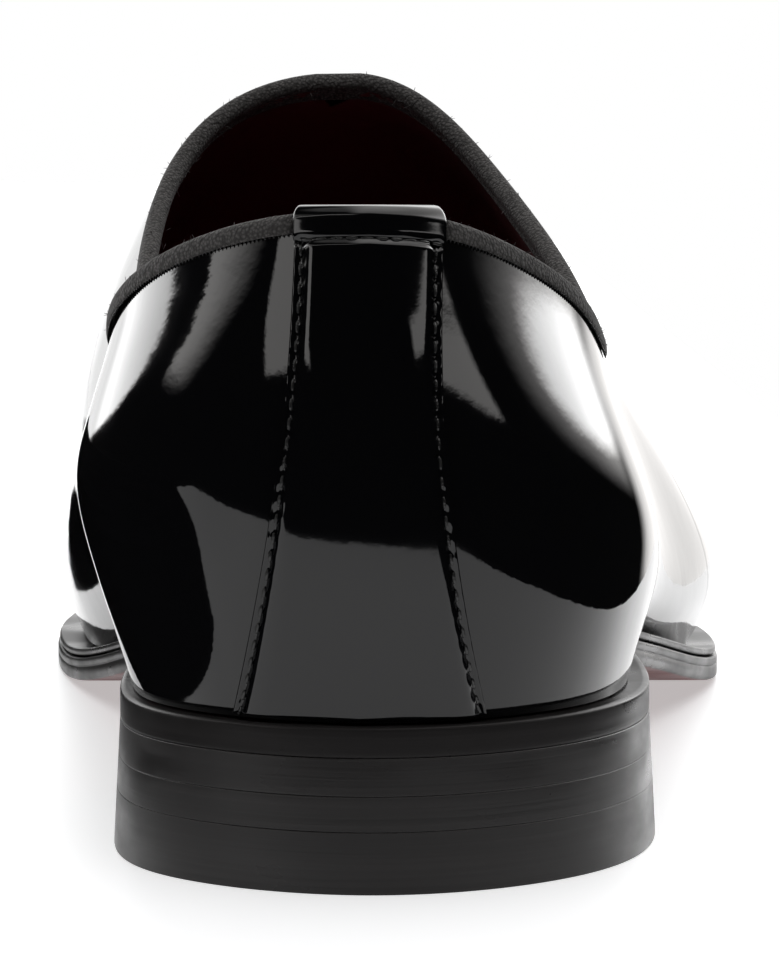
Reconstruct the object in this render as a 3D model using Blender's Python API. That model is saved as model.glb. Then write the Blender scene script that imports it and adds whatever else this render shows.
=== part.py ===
"""Patent leather slip-on loafer for the right foot, built as its separate closed pieces.

Frame: metres, +Z up, +Y towards the toe, +X towards the outer side of the foot. The origin is
on the floor under the middle of the heel. Sizes below are in millimetres; a station is measured
along the foot from the back of the insole, a height from the floor.
"""

import math
from collections import namedtuple

import bpy
import numpy as np

MM = 0.001

# Driving sizes.
HEEL_STATION = 34.0  # station of the frame's origin
GAP = 0.3  # clearance where two pieces meet
WALL = 2.0  # upper leather with its lining
HEEL_LIFT = 16.0  # floor to the underside of the outsole at the heel
TOE_SPRING = 12.0
OUTSOLE_THICKNESS = 3.6
OUTSOLE_LIP = 0.5  # rounding of the outsole's edge
WELT_THICKNESS = 1.2
WELT_REACH = 5.0  # how far the welt runs in under the upper
WELT_START = 2.95  # loop position where the skived end of the welt lies
INSOLE_THICKNESS = 2.4
BREAST_STATION = 70.0  # front face of the heel
HEEL_FLARE = 0.85  # outward spread of the heel from its seat to the floor
BINDING_DEPTH = 1.8  # how far the collar binding reaches down on each side
BINDING_THICKNESS = 0.7
EDGE_SLACK = 0.05  # how far the tape's outer edge lifts, for each millimetre of its depth
TURN_IN_SLACK = 0.1  # how far a turned-in edge stands off the lining, for each millimetre of its depth
STRAP_THICKNESS = 0.9
STRAP_TOP_HALF = 8.4  # half width of the heel strap at the collar
STRAP_FOOT_HALF = 14.9  # half width of the heel strap at the seat
STRAP_SPREAD = 2.1  # how late the strap widens towards the seat
STRAP_SHIFT = -1.1  # sideways lean of the strap's foot
TAB_RISE = 0.5  # how far the strap's fold stands higher than the tape's
STRAP_TURN_IN = 9.0  # how far the heel strap is folded down inside the collar

# Side profile of the sole's underside, as stations.
WAIST_START = 66.0
TREAD_START = 190.0
TREAD_END = 220.0
TOE_END = 300.0
SKIVE_START = 50.0
SKIVE_LENGTH = 30.0

# Each spoke is a line in plan from a centre out to the edge of the foot. A turn of 0 points
# straight to the side, -90 straight back and 90 straight ahead. The crown is how broadly the
# wall rounds over at the crest.
Spoke = namedtuple("Spoke", "place centre_x centre_station turn top_station crown")
SPOKES = (
    Spoke("heel back", 0.0, 34.0, -90.0, 42.0, 1.0),
    Spoke("heel corner", 0.0, 34.0, -45.0, 45.0, 1.0),
    Spoke("heel side", 0.0, 34.0, 0.0, 51.0, 0.9),
    Spoke("breast", 0.0, 64.0, 0.0, 67.5, 0.6),
    Spoke("waist", 0.0, 94.0, 0.0, 94.3, 0.32),
    Spoke("instep", 0.0, 124.0, 0.0, 124.0, 0.28),
    Spoke("vamp", 0.0, 152.0, 0.0, 152.0, 0.6),
    Spoke("outer ball", 0.0, 180.0, 0.0, 179.6, 0.85),
    Spoke("inner ball", 0.0, 207.0, 0.0, 205.6, 1.0),
    Spoke("toe start", 0.0, 233.0, 0.0, 229.0, 1.1),
    Spoke("toe side", 0.0, 256.0, 0.0, 248.0, 1.1),
    Spoke("toe corner", -3.0, 258.0, 45.0, 259.0, 1.1),
    Spoke("toe tip", -5.0, 258.0, 90.0, 262.5, 1.1),
)

# Where the wall passes along each spoke: reach is the distance from the spoke's centre.
Wall = namedtuple("Wall", "feather widest widest_height shoulder shoulder_height ledge")
OUTER_WALLS = (
    Wall(34.0, 38.0, 42.0, 32.8, 80.0, 2.4),
    Wall(32.4, 36.2, 41.0, 25.2, 76.0, 2.2),
    Wall(32.2, 35.6, 37.0, 27.2, 66.5, 2.7),
    Wall(33.0, 38.0, 30.0, 29.2, 64.0, 2.3),
    Wall(34.2, 40.0, 27.0, 25.7, 71.0, 2.2),
    Wall(40.2, 45.4, 23.5, 19.6, 78.0, 3.2),
    Wall(46.4, 51.4, 21.0, 28.0, 62.0, 4.2),
    Wall(50.8, 55.0, 19.5, 32.6, 48.5, 5.0),
    Wall(49.8, 53.6, 18.8, 33.0, 40.5, 5.2),
    Wall(44.3, 47.9, 19.4, 29.6, 35.0, 5.2),
    Wall(35.9, 39.5, 21.2, 25.2, 32.6, 5.2),
    Wall(34.4, 37.6, 23.4, 24.0, 32.2, 5.2),
    Wall(38.0, 40.8, 25.4, 27.0, 32.4, 5.2),
)
INNER_WALLS = (
    OUTER_WALLS[0],
    Wall(31.8, 36.2, 42.0, 30.0, 76.0, 2.0),
    Wall(29.6, 35.6, 40.0, 31.6, 67.0, 1.6),
    Wall(29.2, 37.2, 39.0, 30.2, 64.5, 1.6),
    Wall(28.8, 39.4, 38.0, 31.4, 71.0, 1.8),
    Wall(33.0, 42.4, 33.0, 31.5, 78.0, 2.8),
    Wall(39.2, 46.0, 26.0, 35.0, 62.5, 3.6),
    Wall(44.6, 49.0, 21.5, 34.5, 50.0, 4.2),
    Wall(47.4, 50.6, 18.6, 34.2, 41.0, 4.2),
    Wall(45.0, 48.2, 19.0, 32.4, 35.0, 4.4),
    Wall(38.9, 42.1, 21.2, 28.4, 32.6, 4.8),
    Wall(35.4, 38.5, 23.4, 25.0, 32.2, 5.0),
    OUTER_WALLS[-1],
)

# Crest of the last over the foot, and the collar line seen from the side.
Crest = namedtuple("Crest", "station height sideways")
CREST = (
    Crest(42.0, 136.0, -1.0),
    Crest(71.0, 130.0, -3.5),
    Crest(97.0, 113.0, -5.0),
    Crest(125.0, 96.9, -5.6),
    Crest(152.0, 81.8, -5.4),
    Crest(179.0, 67.8, -5.0),
    Crest(205.0, 56.0, -4.5),
    Crest(229.0, 46.8, -4.5),
    Crest(248.0, 41.3, -4.5),
    Crest(262.5, 37.6, -4.5),
)
Collar = namedtuple("Collar", "station height")
COLLAR = (
    Collar(-4.0, 79.9),
    Collar(3.0, 78.4),
    Collar(12.0, 75.3),
    Collar(25.0, 69.6),
    Collar(42.0, 63.2),
    Collar(58.0, 60.8),
    Collar(72.0, 62.8),
    Collar(88.0, 69.3),
    Collar(106.0, 78.5),
    Collar(118.0, 86.5),
    Collar(128.0, 96.2),
    Collar(140.0, 110.0),
)

WALL_KNOTS = np.array([0.0, 0.6, 1.6, 3.0])  # pace of the wall at feather, widest, shoulder, crest
TOP = WALL_KNOTS[-1]
ROWS = len(SPOKES) - 1  # loop length of one side, heel back to toe tip
LOOP = 2 * ROWS

# Mesh density.
COLLAR_LINES = 36  # wall lines on each side that end at the collar
THROAT_LEAD = 1.0  # how far the feet of the lines run ahead at the throat
VAMP_LINES = 18  # and at the crest, from the throat to the toe tip
WALL_STEPS = 12
TOP_CROWDING = 0.4  # wall steps draw closer towards the crest, where it rounds over most
EDGE_LINES = 48  # outline points of the sole on each side


def smooth_step(x):
    x = np.clip(x, 0.0, 1.0)
    return x * x * (3.0 - 2.0 * x)


def profile(stations, values):
    """A smooth curve through a table's points, as a function (a natural cubic spline)."""
    x = np.asarray(stations, float)
    y = np.asarray(values, float)
    h = np.diff(x)
    n = len(x)
    matrix = np.zeros((n, n))
    right = np.zeros(n)
    matrix[0, 0], matrix[0, 1], right[0] = 2.0, 1.0, 3.0 * (y[1] - y[0]) / h[0]
    matrix[-1, -1], matrix[-1, -2], right[-1] = 2.0, 1.0, 3.0 * (y[-1] - y[-2]) / h[-1]
    for i in range(1, n - 1):
        matrix[i, i - 1 : i + 2] = h[i], 2.0 * (h[i - 1] + h[i]), h[i - 1]
        right[i] = 3.0 * (h[i] * (y[i] - y[i - 1]) / h[i - 1] + h[i - 1] * (y[i + 1] - y[i]) / h[i])
    slope = np.linalg.solve(matrix, right)

    def value(at):
        at = np.asarray(at, float)
        i = np.clip(np.searchsorted(x, at) - 1, 0, n - 2)
        f = np.clip((at - x[i]) / h[i], -1.0, 2.0)
        return hermite(y[i], slope[i] * h[i], y[i + 1], slope[i + 1] * h[i], f)

    return value


def hermite(a, slope_a, b, slope_b, f):
    g = 1.0 - f
    return g * g * ((1.0 + 2.0 * f) * a + f * slope_a) + f * f * ((1.0 + 2.0 * g) * b - g * slope_b)


def closed_slopes(rows):
    """Slopes of the smooth closed curve through evenly numbered rows."""
    one = np.eye(len(rows))
    matrix = 4.0 * one + np.roll(one, 1, axis=1) + np.roll(one, -1, axis=1)
    return np.linalg.solve(matrix, 3.0 * (np.roll(rows, -1, axis=0) - np.roll(rows, 1, axis=0)))


def closed_curve(rows):
    """The smooth closed curve through rows, as a function of the loop position."""
    rows = np.asarray(rows, float)
    slopes = closed_slopes(rows)

    def value(s):
        s = np.mod(s, len(rows))
        i = np.minimum(s.astype(int), len(rows) - 1)
        j = (i + 1) % len(rows)
        f = s - i
        if rows.ndim > 1:
            f = f[:, None]
        return hermite(rows[i], slopes[i], rows[j], slopes[j], f)

    return value


def spoke_direction(spoke, side):
    turn = math.radians(spoke.turn)
    return np.array([side * math.cos(turn), math.sin(turn)])


def loop_rows(reach):
    """Plan points round the foot: outer side from heel to toe, then inner side back to the heel."""
    rows = []
    for side, walls, order in ((1, OUTER_WALLS, range(ROWS + 1)), (-1, INNER_WALLS, range(ROWS - 1, 0, -1))):
        for k in order:
            spoke = SPOKES[k]
            centre = np.array([spoke.centre_x, spoke.centre_station])
            rows.append(centre + reach(walls[k]) * spoke_direction(spoke, side))
    return np.array(rows)


def loop_values(column):
    """One column of the wall tables in the same order as loop_rows."""
    outer = [getattr(wall, column) for wall in OUTER_WALLS]
    inner = [getattr(wall, column) for wall in INNER_WALLS]
    return np.array(outer + inner[ROWS - 1 : 0 : -1])


def mirrored_values(values):
    values = list(values)
    return np.array(values + values[ROWS - 1 : 0 : -1])


feather_plan = closed_curve(loop_rows(lambda wall: wall.feather))
widest_plan = closed_curve(loop_rows(lambda wall: wall.widest))
shoulder_plan = closed_curve(loop_rows(lambda wall: wall.shoulder))
sole_plan = closed_curve(loop_rows(lambda wall: wall.feather + wall.ledge))
widest_height = closed_curve(loop_values("widest_height"))
shoulder_height = closed_curve(loop_values("shoulder_height"))
top_station = closed_curve(mirrored_values(spoke.top_station for spoke in SPOKES))
top_crown = closed_curve(mirrored_values(spoke.crown for spoke in SPOKES))
crest_height = profile([c.station for c in CREST], [c.height for c in CREST])
crest_sideways = profile([c.station for c in CREST], [c.sideways for c in CREST])
collar_height = profile([c.station for c in COLLAR], [c.height for c in COLLAR])


def sole_underside(station):
    """Height of the outsole's underside: heel seat, waist, flat tread, toe spring."""
    waist = HEEL_LIFT * (1.0 - smooth_step((station - WAIST_START) / (TREAD_START - WAIST_START)))
    toe = np.clip((station - TREAD_END) / (TOE_END - TREAD_END), 0.0, None)
    return waist + TOE_SPRING * toe**2


def sole_top(station):
    return sole_underside(station) + OUTSOLE_THICKNESS


def welt_rise(station):
    """How far the welt, skived away towards the heel, lifts the upper off the outsole."""
    return (WELT_THICKNESS + GAP) * smooth_step((station - SKIVE_START) / SKIVE_LENGTH)


def upper_foot(station):
    """Height of the upper's lower edge."""
    return sole_top(station) + GAP + welt_rise(station)


def crest_fall(station):
    """Slope of the crest along the foot."""
    return crest_height(station + 0.5) - crest_height(station - 0.5)


def wall_matrix():
    """Equations for the wall's slopes: free at the feather, set at the crest."""
    h = np.diff(WALL_KNOTS)
    matrix = np.zeros((4, 4))
    matrix[0, :2] = 2.0, 1.0
    for i in (1, 2):
        matrix[i, i - 1 : i + 2] = 1.0 / h[i - 1], 2.0 / h[i - 1] + 2.0 / h[i], 1.0 / h[i]
    matrix[3, 3] = 1.0
    return np.linalg.inv(matrix), h


WALL_INVERSE, WALL_PACE = wall_matrix()


def wall_points(s):
    """Feather, widest, shoulder and crest points of the wall lines at loop positions s."""
    feather, widest, shoulder = feather_plan(s), widest_plan(s), shoulder_plan(s)
    top = top_station(s)
    points = np.empty((len(s), 4, 3))
    points[:, 0, :2], points[:, 0, 2] = feather, upper_foot(feather[:, 1])
    points[:, 1, :2], points[:, 1, 2] = widest, widest_height(s)
    points[:, 2, :2], points[:, 2, 2] = shoulder, shoulder_height(s)
    points[:, 3, 0], points[:, 3, 1], points[:, 3, 2] = crest_sideways(top), top, crest_height(top)
    return points


def wall_slopes(points, crown):
    """Slopes of each wall line at its four points. At the crest it lies in the crest's own slope."""
    h = WALL_PACE
    outward = points[:, 2, :2] - points[:, 3, :2]
    reach = np.linalg.norm(outward, axis=1)
    fall = crest_fall(points[:, 3, 1]) * outward[:, 1]
    right = np.empty_like(points)
    step = np.diff(points, axis=1)
    right[:, 0] = 3.0 * step[:, 0] / h[0]
    for i in (1, 2):
        right[:, i] = 3.0 * (step[:, i - 1] / h[i - 1] ** 2 + step[:, i] / h[i] ** 2)
    length = crown * np.linalg.norm(step[:, 2], axis=1) / h[2] / reach
    right[:, 3, :2] = -outward * length[:, None]
    right[:, 3, 2] = -fall * length
    return np.einsum("ij,njk->nik", WALL_INVERSE, right)


def last(s, t):
    """Points of the lasted surface: s runs round the foot, t up the wall from 0 to TOP."""
    s, t = np.broadcast_arrays(np.asarray(s, float), np.asarray(t, float))
    shape = s.shape
    s, t = s.ravel(), t.ravel()
    points = wall_points(s)
    slopes = wall_slopes(points, top_crown(s))
    i = np.clip(np.searchsorted(WALL_KNOTS, t, side="right") - 1, 0, 2)
    n = np.arange(len(s))
    pace = WALL_PACE[i][:, None]
    f = ((t - WALL_KNOTS[i]) / WALL_PACE[i])[:, None]
    found = hermite(points[n, i], slopes[n, i] * pace, points[n, i + 1], slopes[n, i + 1] * pace, f)
    return found.reshape(*shape, 3)


def last_frame(s, t):
    """Point, slope round the foot, slope up the wall and outward normal."""
    d = 1e-3
    low = np.maximum(np.asarray(t, float) - d, 0.0)
    high = np.minimum(np.asarray(t, float) + d, TOP)
    point = last(s, t)
    round_foot = (last(np.asarray(s) + d, t) - last(np.asarray(s) - d, t)) / (2.0 * d)
    up_wall = (last(s, high) - last(s, low)) / (high - low)[..., None]
    normal = np.cross(round_foot, up_wall)
    fall = crest_fall(point[..., 1])
    crest_normal = np.stack([np.zeros_like(fall), -fall, np.ones_like(fall)], axis=-1)
    normal = np.where((np.asarray(t) > TOP - d)[..., None], crest_normal, normal)
    return point, round_foot, up_wall, normal / np.linalg.norm(normal, axis=-1, keepdims=True)


def halve(low, high, is_past, steps=40):
    """Bisection, for many values at once."""
    low, high = np.array(low, float), np.array(high, float)
    for _ in range(steps):
        middle = 0.5 * (low + high)
        past = is_past(middle)
        high = np.where(past, middle, high)
        low = np.where(past, low, middle)
    return 0.5 * (low + high)


def over_collar(points):
    return points[..., 2] > collar_height(points[..., 1])


def collar_t(s):
    """How far up the wall the collar cuts it; TOP in front of the throat."""
    s = np.asarray(s, float)
    t = halve(np.full(s.shape, WALL_KNOTS[1]), np.full(s.shape, TOP), lambda t: over_collar(last(s, t)))
    return np.where(over_collar(last(s, np.full(s.shape, TOP))), t, TOP)


def throat_position():
    """Loop position of the wall line that ends at the point of the throat."""
    waist, vamp = 4.0, 6.0
    return float(halve([waist], [vamp], lambda s: ~over_collar(last(s, np.full(1, TOP))))[0])


THROAT = throat_position()


def side_lines():
    """Loop positions of one side's wall lines, at their tops and at their feet.

    The tops lie in even steps along the collar and then the crest. The feet run ahead of them,
    most at the throat, so that the lines leave the collar squarely.
    """
    fine = THROAT * (1.0 - np.linspace(1.0, 0.0, 400) ** 2)
    points = last(fine, collar_t(fine))
    length = np.concatenate([[0.0], np.cumsum(np.linalg.norm(np.diff(points, axis=0), axis=1))])
    tops = np.interp(np.linspace(0.0, length[-1], COLLAR_LINES + 1), length, fine)
    tops = np.concatenate([tops, np.linspace(THROAT, ROWS, VAMP_LINES + 1)[1:]])
    feet = np.linspace(0.0, THROAT + THROAT_LEAD, COLLAR_LINES + 1)
    feet = np.concatenate([feet, np.linspace(THROAT + THROAT_LEAD, ROWS, VAMP_LINES + 1)[1:]])
    return tops, feet


def wall_grid(tops, feet, steps):
    """Loop and wall positions of a net over the upper, a row for each wall line."""
    even = np.linspace(0.0, 1.0, steps + 1)
    up = even * (1.0 + TOP_CROWDING * (1.0 - even))
    s = tops[:, None] + (feet - tops)[:, None] * (1.0 - up**3)[None, :]
    return s, collar_t(tops)[:, None] * up[None, :]


def place(points):
    """Shoe sizes to the frame's metres."""
    points = np.asarray(points, float)
    return (points - np.array([0.0, HEEL_STATION, 0.0])) * MM


def material(name, colour, roughness, metallic=0.0):
    made = bpy.data.materials.new(name)
    made.use_nodes = True
    shader = made.node_tree.nodes["Principled BSDF"]
    shader.inputs["Base Color"].default_value = (*colour, 1.0)
    shader.inputs["Roughness"].default_value = roughness
    shader.inputs["Metallic"].default_value = metallic
    return made


def solid(name, points, faces, finish, parent, sharp_degrees=35.0):
    """One named object from closed faces."""
    mesh = bpy.data.meshes.new(name)
    mesh.from_pydata([tuple(p) for p in place(points)], [], faces)
    mesh.validate()
    mesh.shade_smooth()
    mesh.set_sharp_from_angle(angle=math.radians(sharp_degrees))
    mesh.materials.append(finish)
    made = bpy.data.objects.new(name, mesh)
    bpy.context.scene.collection.objects.link(made)
    made.parent = parent
    return made


def ring_faces(rows, columns, start, close_rows=True, close_columns=True):
    """Quads of a grid numbered row by row from start; rows and columns may close on themselves."""
    faces = []
    for i in range(rows if close_rows else rows - 1):
        for j in range(columns if close_columns else columns - 1):
            a, b = start + i * columns, start + (i + 1) % rows * columns
            k = (j + 1) % columns
            faces.append((a + j, b + j, b + k, a + k))
    return faces


def build_upper(finish, parent):
    """The hollow upper: outer skin, inner skin a wall's thickness inside it, and the two rims."""
    side, side_feet = side_lines()
    loop = np.concatenate([side, LOOP - side[-2:0:-1]])
    feet = np.concatenate([side_feet, LOOP - side_feet[-2:0:-1]])
    count, throat = len(loop), COLLAR_LINES
    s, t = wall_grid(loop, feet, WALL_STEPS)
    outer, _, _, normal = last_frame(s, t)
    inner = outer - WALL * normal
    inner[:, 0, 2] = upper_foot(inner[:, 0, 1])
    points = np.concatenate([outer.reshape(-1, 3), inner.reshape(-1, 3)])
    columns = WALL_STEPS + 1
    skin = count * columns

    def shared(index):
        """Inner-side crest points are the outer side's own."""
        line, step = divmod(index % skin, columns)
        if step == columns - 1 and line > len(side) - 1 and count - line >= throat:
            line = count - line
        return index // skin * skin + line * columns + step

    faces = ring_faces(count, columns, 0, close_columns=False)
    faces += [face[::-1] for face in ring_faces(count, columns, skin, close_columns=False)]
    for i in range(count):
        a, b = i * columns, (i + 1) % count * columns
        faces.append((a, a + skin, b + skin, b))
    for i in range(-throat, throat):
        a, b = i % count * columns + columns - 1, (i + 1) % count * columns + columns - 1
        faces.append((a, b, b + skin, a + skin))
    faces = [tuple(dict.fromkeys(shared(i) for i in face)) for face in faces]
    used = sorted({i for face in faces for i in face})
    number = {index: k for k, index in enumerate(used)}
    return solid("upper", points[used], [tuple(number[i] for i in face) for face in faces], finish, parent)


def plan_normals(points):
    """Outward directions of a closed outline that runs outer side first."""
    along = np.roll(points, -1, axis=0) - np.roll(points, 1, axis=0)
    across = np.stack([along[:, 1], -along[:, 0]], axis=1)
    return across / np.linalg.norm(across, axis=1, keepdims=True)


def paired_cap(loop, upward):
    """Flat strips across a closed outline between its outer and inner halves."""
    half = len(loop) // 2
    faces = []
    for k in range(half):
        face = tuple(dict.fromkeys((loop[k], loop[k + 1], loop[-k - 1], loop[-k % len(loop)])))
        faces.append(face if upward else face[::-1])
    return faces


def plate(name, levels, finish, parent):
    """A closed plate from outlines stacked from the bottom up."""
    levels = np.asarray(levels)
    rows, columns = levels.shape[:2]
    faces = [face[::-1] for face in ring_faces(rows, columns, 0, close_rows=False)]
    faces += paired_cap(list(range(columns)), False)
    faces += paired_cap(list(range((rows - 1) * columns, rows * columns)), True)
    return solid(name, levels.reshape(-1, 3), faces, finish, parent)


def sweep(name, sections, finish, parent):
    """A closed strip from cross-sections whose second half runs back under the first."""
    sections = np.asarray(sections)
    rows, columns = sections.shape[:2]
    faces = ring_faces(rows, columns, 0, close_rows=False)
    half = columns // 2
    last_row = (rows - 1) * columns
    for k in range(half - 1):
        near = (k, k + 1, columns - 2 - k, columns - 1 - k)
        faces.append(near)
        faces.append(tuple(last_row + i for i in near[::-1]))
    return solid(name, sections.reshape(-1, 3), faces, finish, parent)


def edge_positions(lines):
    side = np.linspace(0.0, ROWS, lines + 1)
    return np.concatenate([side, LOOP - side[-2:0:-1]])


def with_height(plan, height):
    return np.column_stack([plan, height])


def build_outsole(finish, parent):
    """The outsole, with a rounded lip, a fine groove round its edge and a rounded lower edge."""
    Edge = namedtuple("Edge", "height inset")
    full = OUTSOLE_THICKNESS
    edges = (
        Edge(0.0, OUTSOLE_LIP),
        Edge(OUTSOLE_LIP, 0.0),
        Edge(full - 1.6, 0.0),
        Edge(full - 1.4, 0.3),
        Edge(full - 1.2, 0.0),
        Edge(full - OUTSOLE_LIP, 0.0),
        Edge(full, OUTSOLE_LIP),
    )
    plan = sole_plan(edge_positions(EDGE_LINES))
    outward = plan_normals(plan)
    levels = []
    for edge in edges:
        at = plan - edge.inset * outward
        levels.append(with_height(at, sole_underside(at[:, 1]) + edge.height))
    return plate("outsole", levels, finish, parent)


def build_welt(finish, parent):
    """The thin strip between outsole and upper, showing as a ledge round the forefoot."""
    loop = edge_positions(EDGE_LINES)
    sole, feather = sole_plan(loop), feather_plan(loop)
    outside = sole - GAP * plan_normals(sole)
    inside = feather - WELT_REACH * plan_normals(feather)
    shown = (loop >= WELT_START) & (loop <= LOOP - WELT_START)
    outside, inside = outside[shown], inside[shown]
    rounded = outside + (inside - outside) * 0.05

    def level(at, share):
        station = at[:, 1]
        return with_height(at, sole_top(station) + GAP + share * (welt_rise(station) - GAP))

    sections = np.stack(
        [level(inside, 1.0), level(rounded, 1.0), level(outside, 0.7)]
        + [level(outside, 0.3), level(rounded, 0.0), level(inside, 0.0)], axis=1)
    return sweep("welt", sections[:, ::-1], finish, parent)


def build_insole(finish, parent):
    """The board with its sock, lying between the walls of the upper."""
    plan = feather_plan(edge_positions(EDGE_LINES))
    plan = plan - (WALL + 2.0 * GAP) * plan_normals(plan)
    foot = upper_foot(plan[:, 1])
    levels = [with_height(plan, foot), with_height(plan, foot + INSOLE_THICKNESS)]
    return plate("insole", levels, finish, parent)


def heel_outline(spread):
    """Plan of the heel at the seat, spread outwards, with a straight breast."""
    outer_end = halve([1.0], [5.0], lambda s: sole_plan(s)[:, 1] > BREAST_STATION)[0]
    inner_end = halve([1.0], [5.0], lambda s: sole_plan(-s)[:, 1] > BREAST_STATION)[0]
    lines = 20
    s = np.concatenate([np.linspace(0.0, outer_end, lines), -np.linspace(inner_end, 0.0, lines)[:-1]])
    ahead, behind = sole_plan(s + 1e-3), sole_plan(s - 1e-3)
    along = (ahead - behind) / np.linalg.norm(ahead - behind, axis=1, keepdims=True)
    plan = sole_plan(s) + spread * np.column_stack([along[:, 1], -along[:, 0]])
    plan[lines - 1 : lines + 1, 1] = BREAST_STATION
    return np.insert(plan, lines, 0.5 * (plan[lines - 1] + plan[lines]), axis=0)


def build_heel(parent):
    """Two leather lifts and the top piece that stands on the floor."""
    Layer = namedtuple("Layer", "name bottom top colour roughness")
    layers = (
        Layer("top_piece", 0.0, 7.2, (0.015, 0.015, 0.015), 0.5),
        Layer("lower_lift", 7.5, 11.4, (0.014, 0.013, 0.014), 0.38),
        Layer("upper_lift", 11.7, HEEL_LIFT - GAP, (0.014, 0.013, 0.014), 0.38),
    )
    for layer in layers:
        levels = []
        for height in (layer.bottom, layer.top):
            plan = heel_outline(HEEL_FLARE * (1.0 - height / HEEL_LIFT))
            levels.append(with_height(plan, np.full(len(plan), height)))
        plate(layer.name, levels, material(layer.name + "_finish", layer.colour, layer.roughness), parent)


def slide(s, t, move):
    """Loop and wall positions reached by moving along the last by a short way."""
    goal = last(s, t) + move
    for _ in range(3):
        point, round_foot, up_wall, _ = last_frame(s, t)
        rest = goal - point
        a = np.einsum("ij,ij->i", round_foot, round_foot)
        b = np.einsum("ij,ij->i", round_foot, up_wall)
        c = np.einsum("ij,ij->i", up_wall, up_wall)
        p = np.einsum("ij,ij->i", round_foot, rest)
        q = np.einsum("ij,ij->i", up_wall, rest)
        det = a * c - b * b
        s = s + (c * p - b * q) / det
        t = np.clip(t + (a * q - b * p) / det, 0.0, TOP)
    return s, t


def fold_over(s, t, point, normal, off_edge, depths_out, depths_in, lift, rise):
    """A skin folded over the upper's top edge: lift off its outer face and lining, rise off its edge."""
    rows = []
    for depth in depths_out:
        there = slide(s, t, -depth * off_edge)
        at, _, _, facing = last_frame(*there)
        rows.append(at + (lift + EDGE_SLACK * depth) * facing)
    middle = point - 0.5 * WALL * normal
    for turn in np.radians([0.0, 45.0, 90.0, 135.0, 180.0]):
        across = (0.5 * WALL + lift) * math.cos(turn)
        rows.append(middle + across * normal + rise * math.sin(turn) * off_edge)
    for depth in depths_in:
        there = slide(s, t, -depth * off_edge)
        at, _, _, facing = last_frame(*there)
        rows.append(at - (WALL + lift + TURN_IN_SLACK * depth) * facing)
    return np.stack(rows, axis=1)


def at_sideways(x, low, high, t_of):
    """Loop positions near the heel back where the wall reaches the sideways distances x."""
    return halve(np.full(x.shape, low), np.full(x.shape, high), lambda s: last(s, t_of(s))[..., 0] > x)


def collar_line():
    """The upper's own wall lines along the collar, from the strap round the throat and back."""
    side = side_lines()[0][: COLLAR_LINES + 1]
    sides = []
    for sign in (1.0, -1.0):
        edge = np.array([sign * (STRAP_TOP_HALF + STRAP_THICKNESS)])
        end = abs(at_sideways(edge, -1.5, 1.5, collar_t)[0])
        sides.append(np.concatenate([[end], side[side > end + 0.1]]))
    return np.concatenate([sides[0], LOOP - sides[1][-2::-1]])


def build_binding(finish, parent):
    """The tape folded over the edge of collar and throat."""
    s = collar_line()
    t = collar_t(s)
    point, _, _, normal = last_frame(s, t)
    along = np.gradient(point, axis=0)
    off_edge = np.cross(normal, along)
    off_edge /= np.linalg.norm(off_edge, axis=1, keepdims=True)
    depths = (BINDING_DEPTH,)
    skins = []
    for lift in (GAP + BINDING_THICKNESS, GAP):
        skins.append(fold_over(s, t, point, normal, off_edge, depths, depths, lift, lift))
    sections = np.concatenate([skins[0], skins[1][:, ::-1]], axis=1)
    return sweep("collar_binding", sections, finish, parent)


def strap_width(up):
    """Middle and half width of the heel strap at a share of the wall's height."""
    spread = (1.0 - up) ** STRAP_SPREAD
    return STRAP_SHIFT * (1.0 - up * up), STRAP_TOP_HALF + (STRAP_FOOT_HALF - STRAP_TOP_HALF) * spread


def build_strap(finish, parent, across=9, steps=12):
    """The strip up the back of the heel, folded over the collar as a tab."""
    rows = []
    share = np.linspace(-1.0, 1.0, across)
    foot = 0.025  # share of the wall left bare above the seat
    for up in np.linspace(foot, 1.0, steps + 1):
        middle, half = strap_width(up)
        s = at_sideways(middle + share * half, -1.5, 1.5, lambda s: up * collar_t(s))
        rows.append((s, up * collar_t(s)))
    s, t = rows.pop()
    point, _, up_wall, normal = last_frame(s, t)
    off_edge = up_wall / np.linalg.norm(up_wall, axis=1, keepdims=True)
    depths_in = (0.35 * STRAP_TURN_IN, 0.7 * STRAP_TURN_IN, STRAP_TURN_IN)
    skins = []
    for lift in (GAP + STRAP_THICKNESS, GAP):
        leg = []
        for row in rows:
            at, _, _, facing = last_frame(*row)
            leg.append(at + lift * facing)
        fold = fold_over(s, t, point, normal, off_edge, (), depths_in, lift, lift + TAB_RISE)
        skins.append(np.concatenate([np.stack(leg, axis=1), fold], axis=1))
    sections = np.concatenate([skins[0], skins[1][:, ::-1]], axis=1)
    return sweep("heel_strap", sections, finish, parent)


def main():
    for old in list(bpy.data.objects):
        bpy.data.objects.remove(old)
    shoe = bpy.data.objects.new("shoe", None)
    bpy.context.scene.collection.objects.link(shoe)
    build_outsole(material("sole_leather", (0.05, 0.012, 0.014), 0.45), shoe)
    build_welt(material("welt_leather", (0.012, 0.011, 0.012), 0.4), shoe)
    build_insole(material("sock_leather", (0.09, 0.015, 0.02), 0.5), shoe)
    build_upper(material("patent_leather", (0.004, 0.004, 0.005), 0.06), shoe)
    build_heel(shoe)
    build_strap(material("strap_patent", (0.004, 0.004, 0.005), 0.06), shoe)
    build_binding(material("binding_fabric", (0.006, 0.006, 0.007), 0.8), shoe)


main()
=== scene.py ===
"""Looks of a black patent leather slip-on loafer for the right foot, laid out as an add-on.

Pieces are pulled over the form of the last, which is worked out in millimetres: x to the outer
side, stations along the foot from the back of the insole, heights from the floor. place() takes
them to the frame's metres.
"""

import math
from collections import namedtuple

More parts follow.
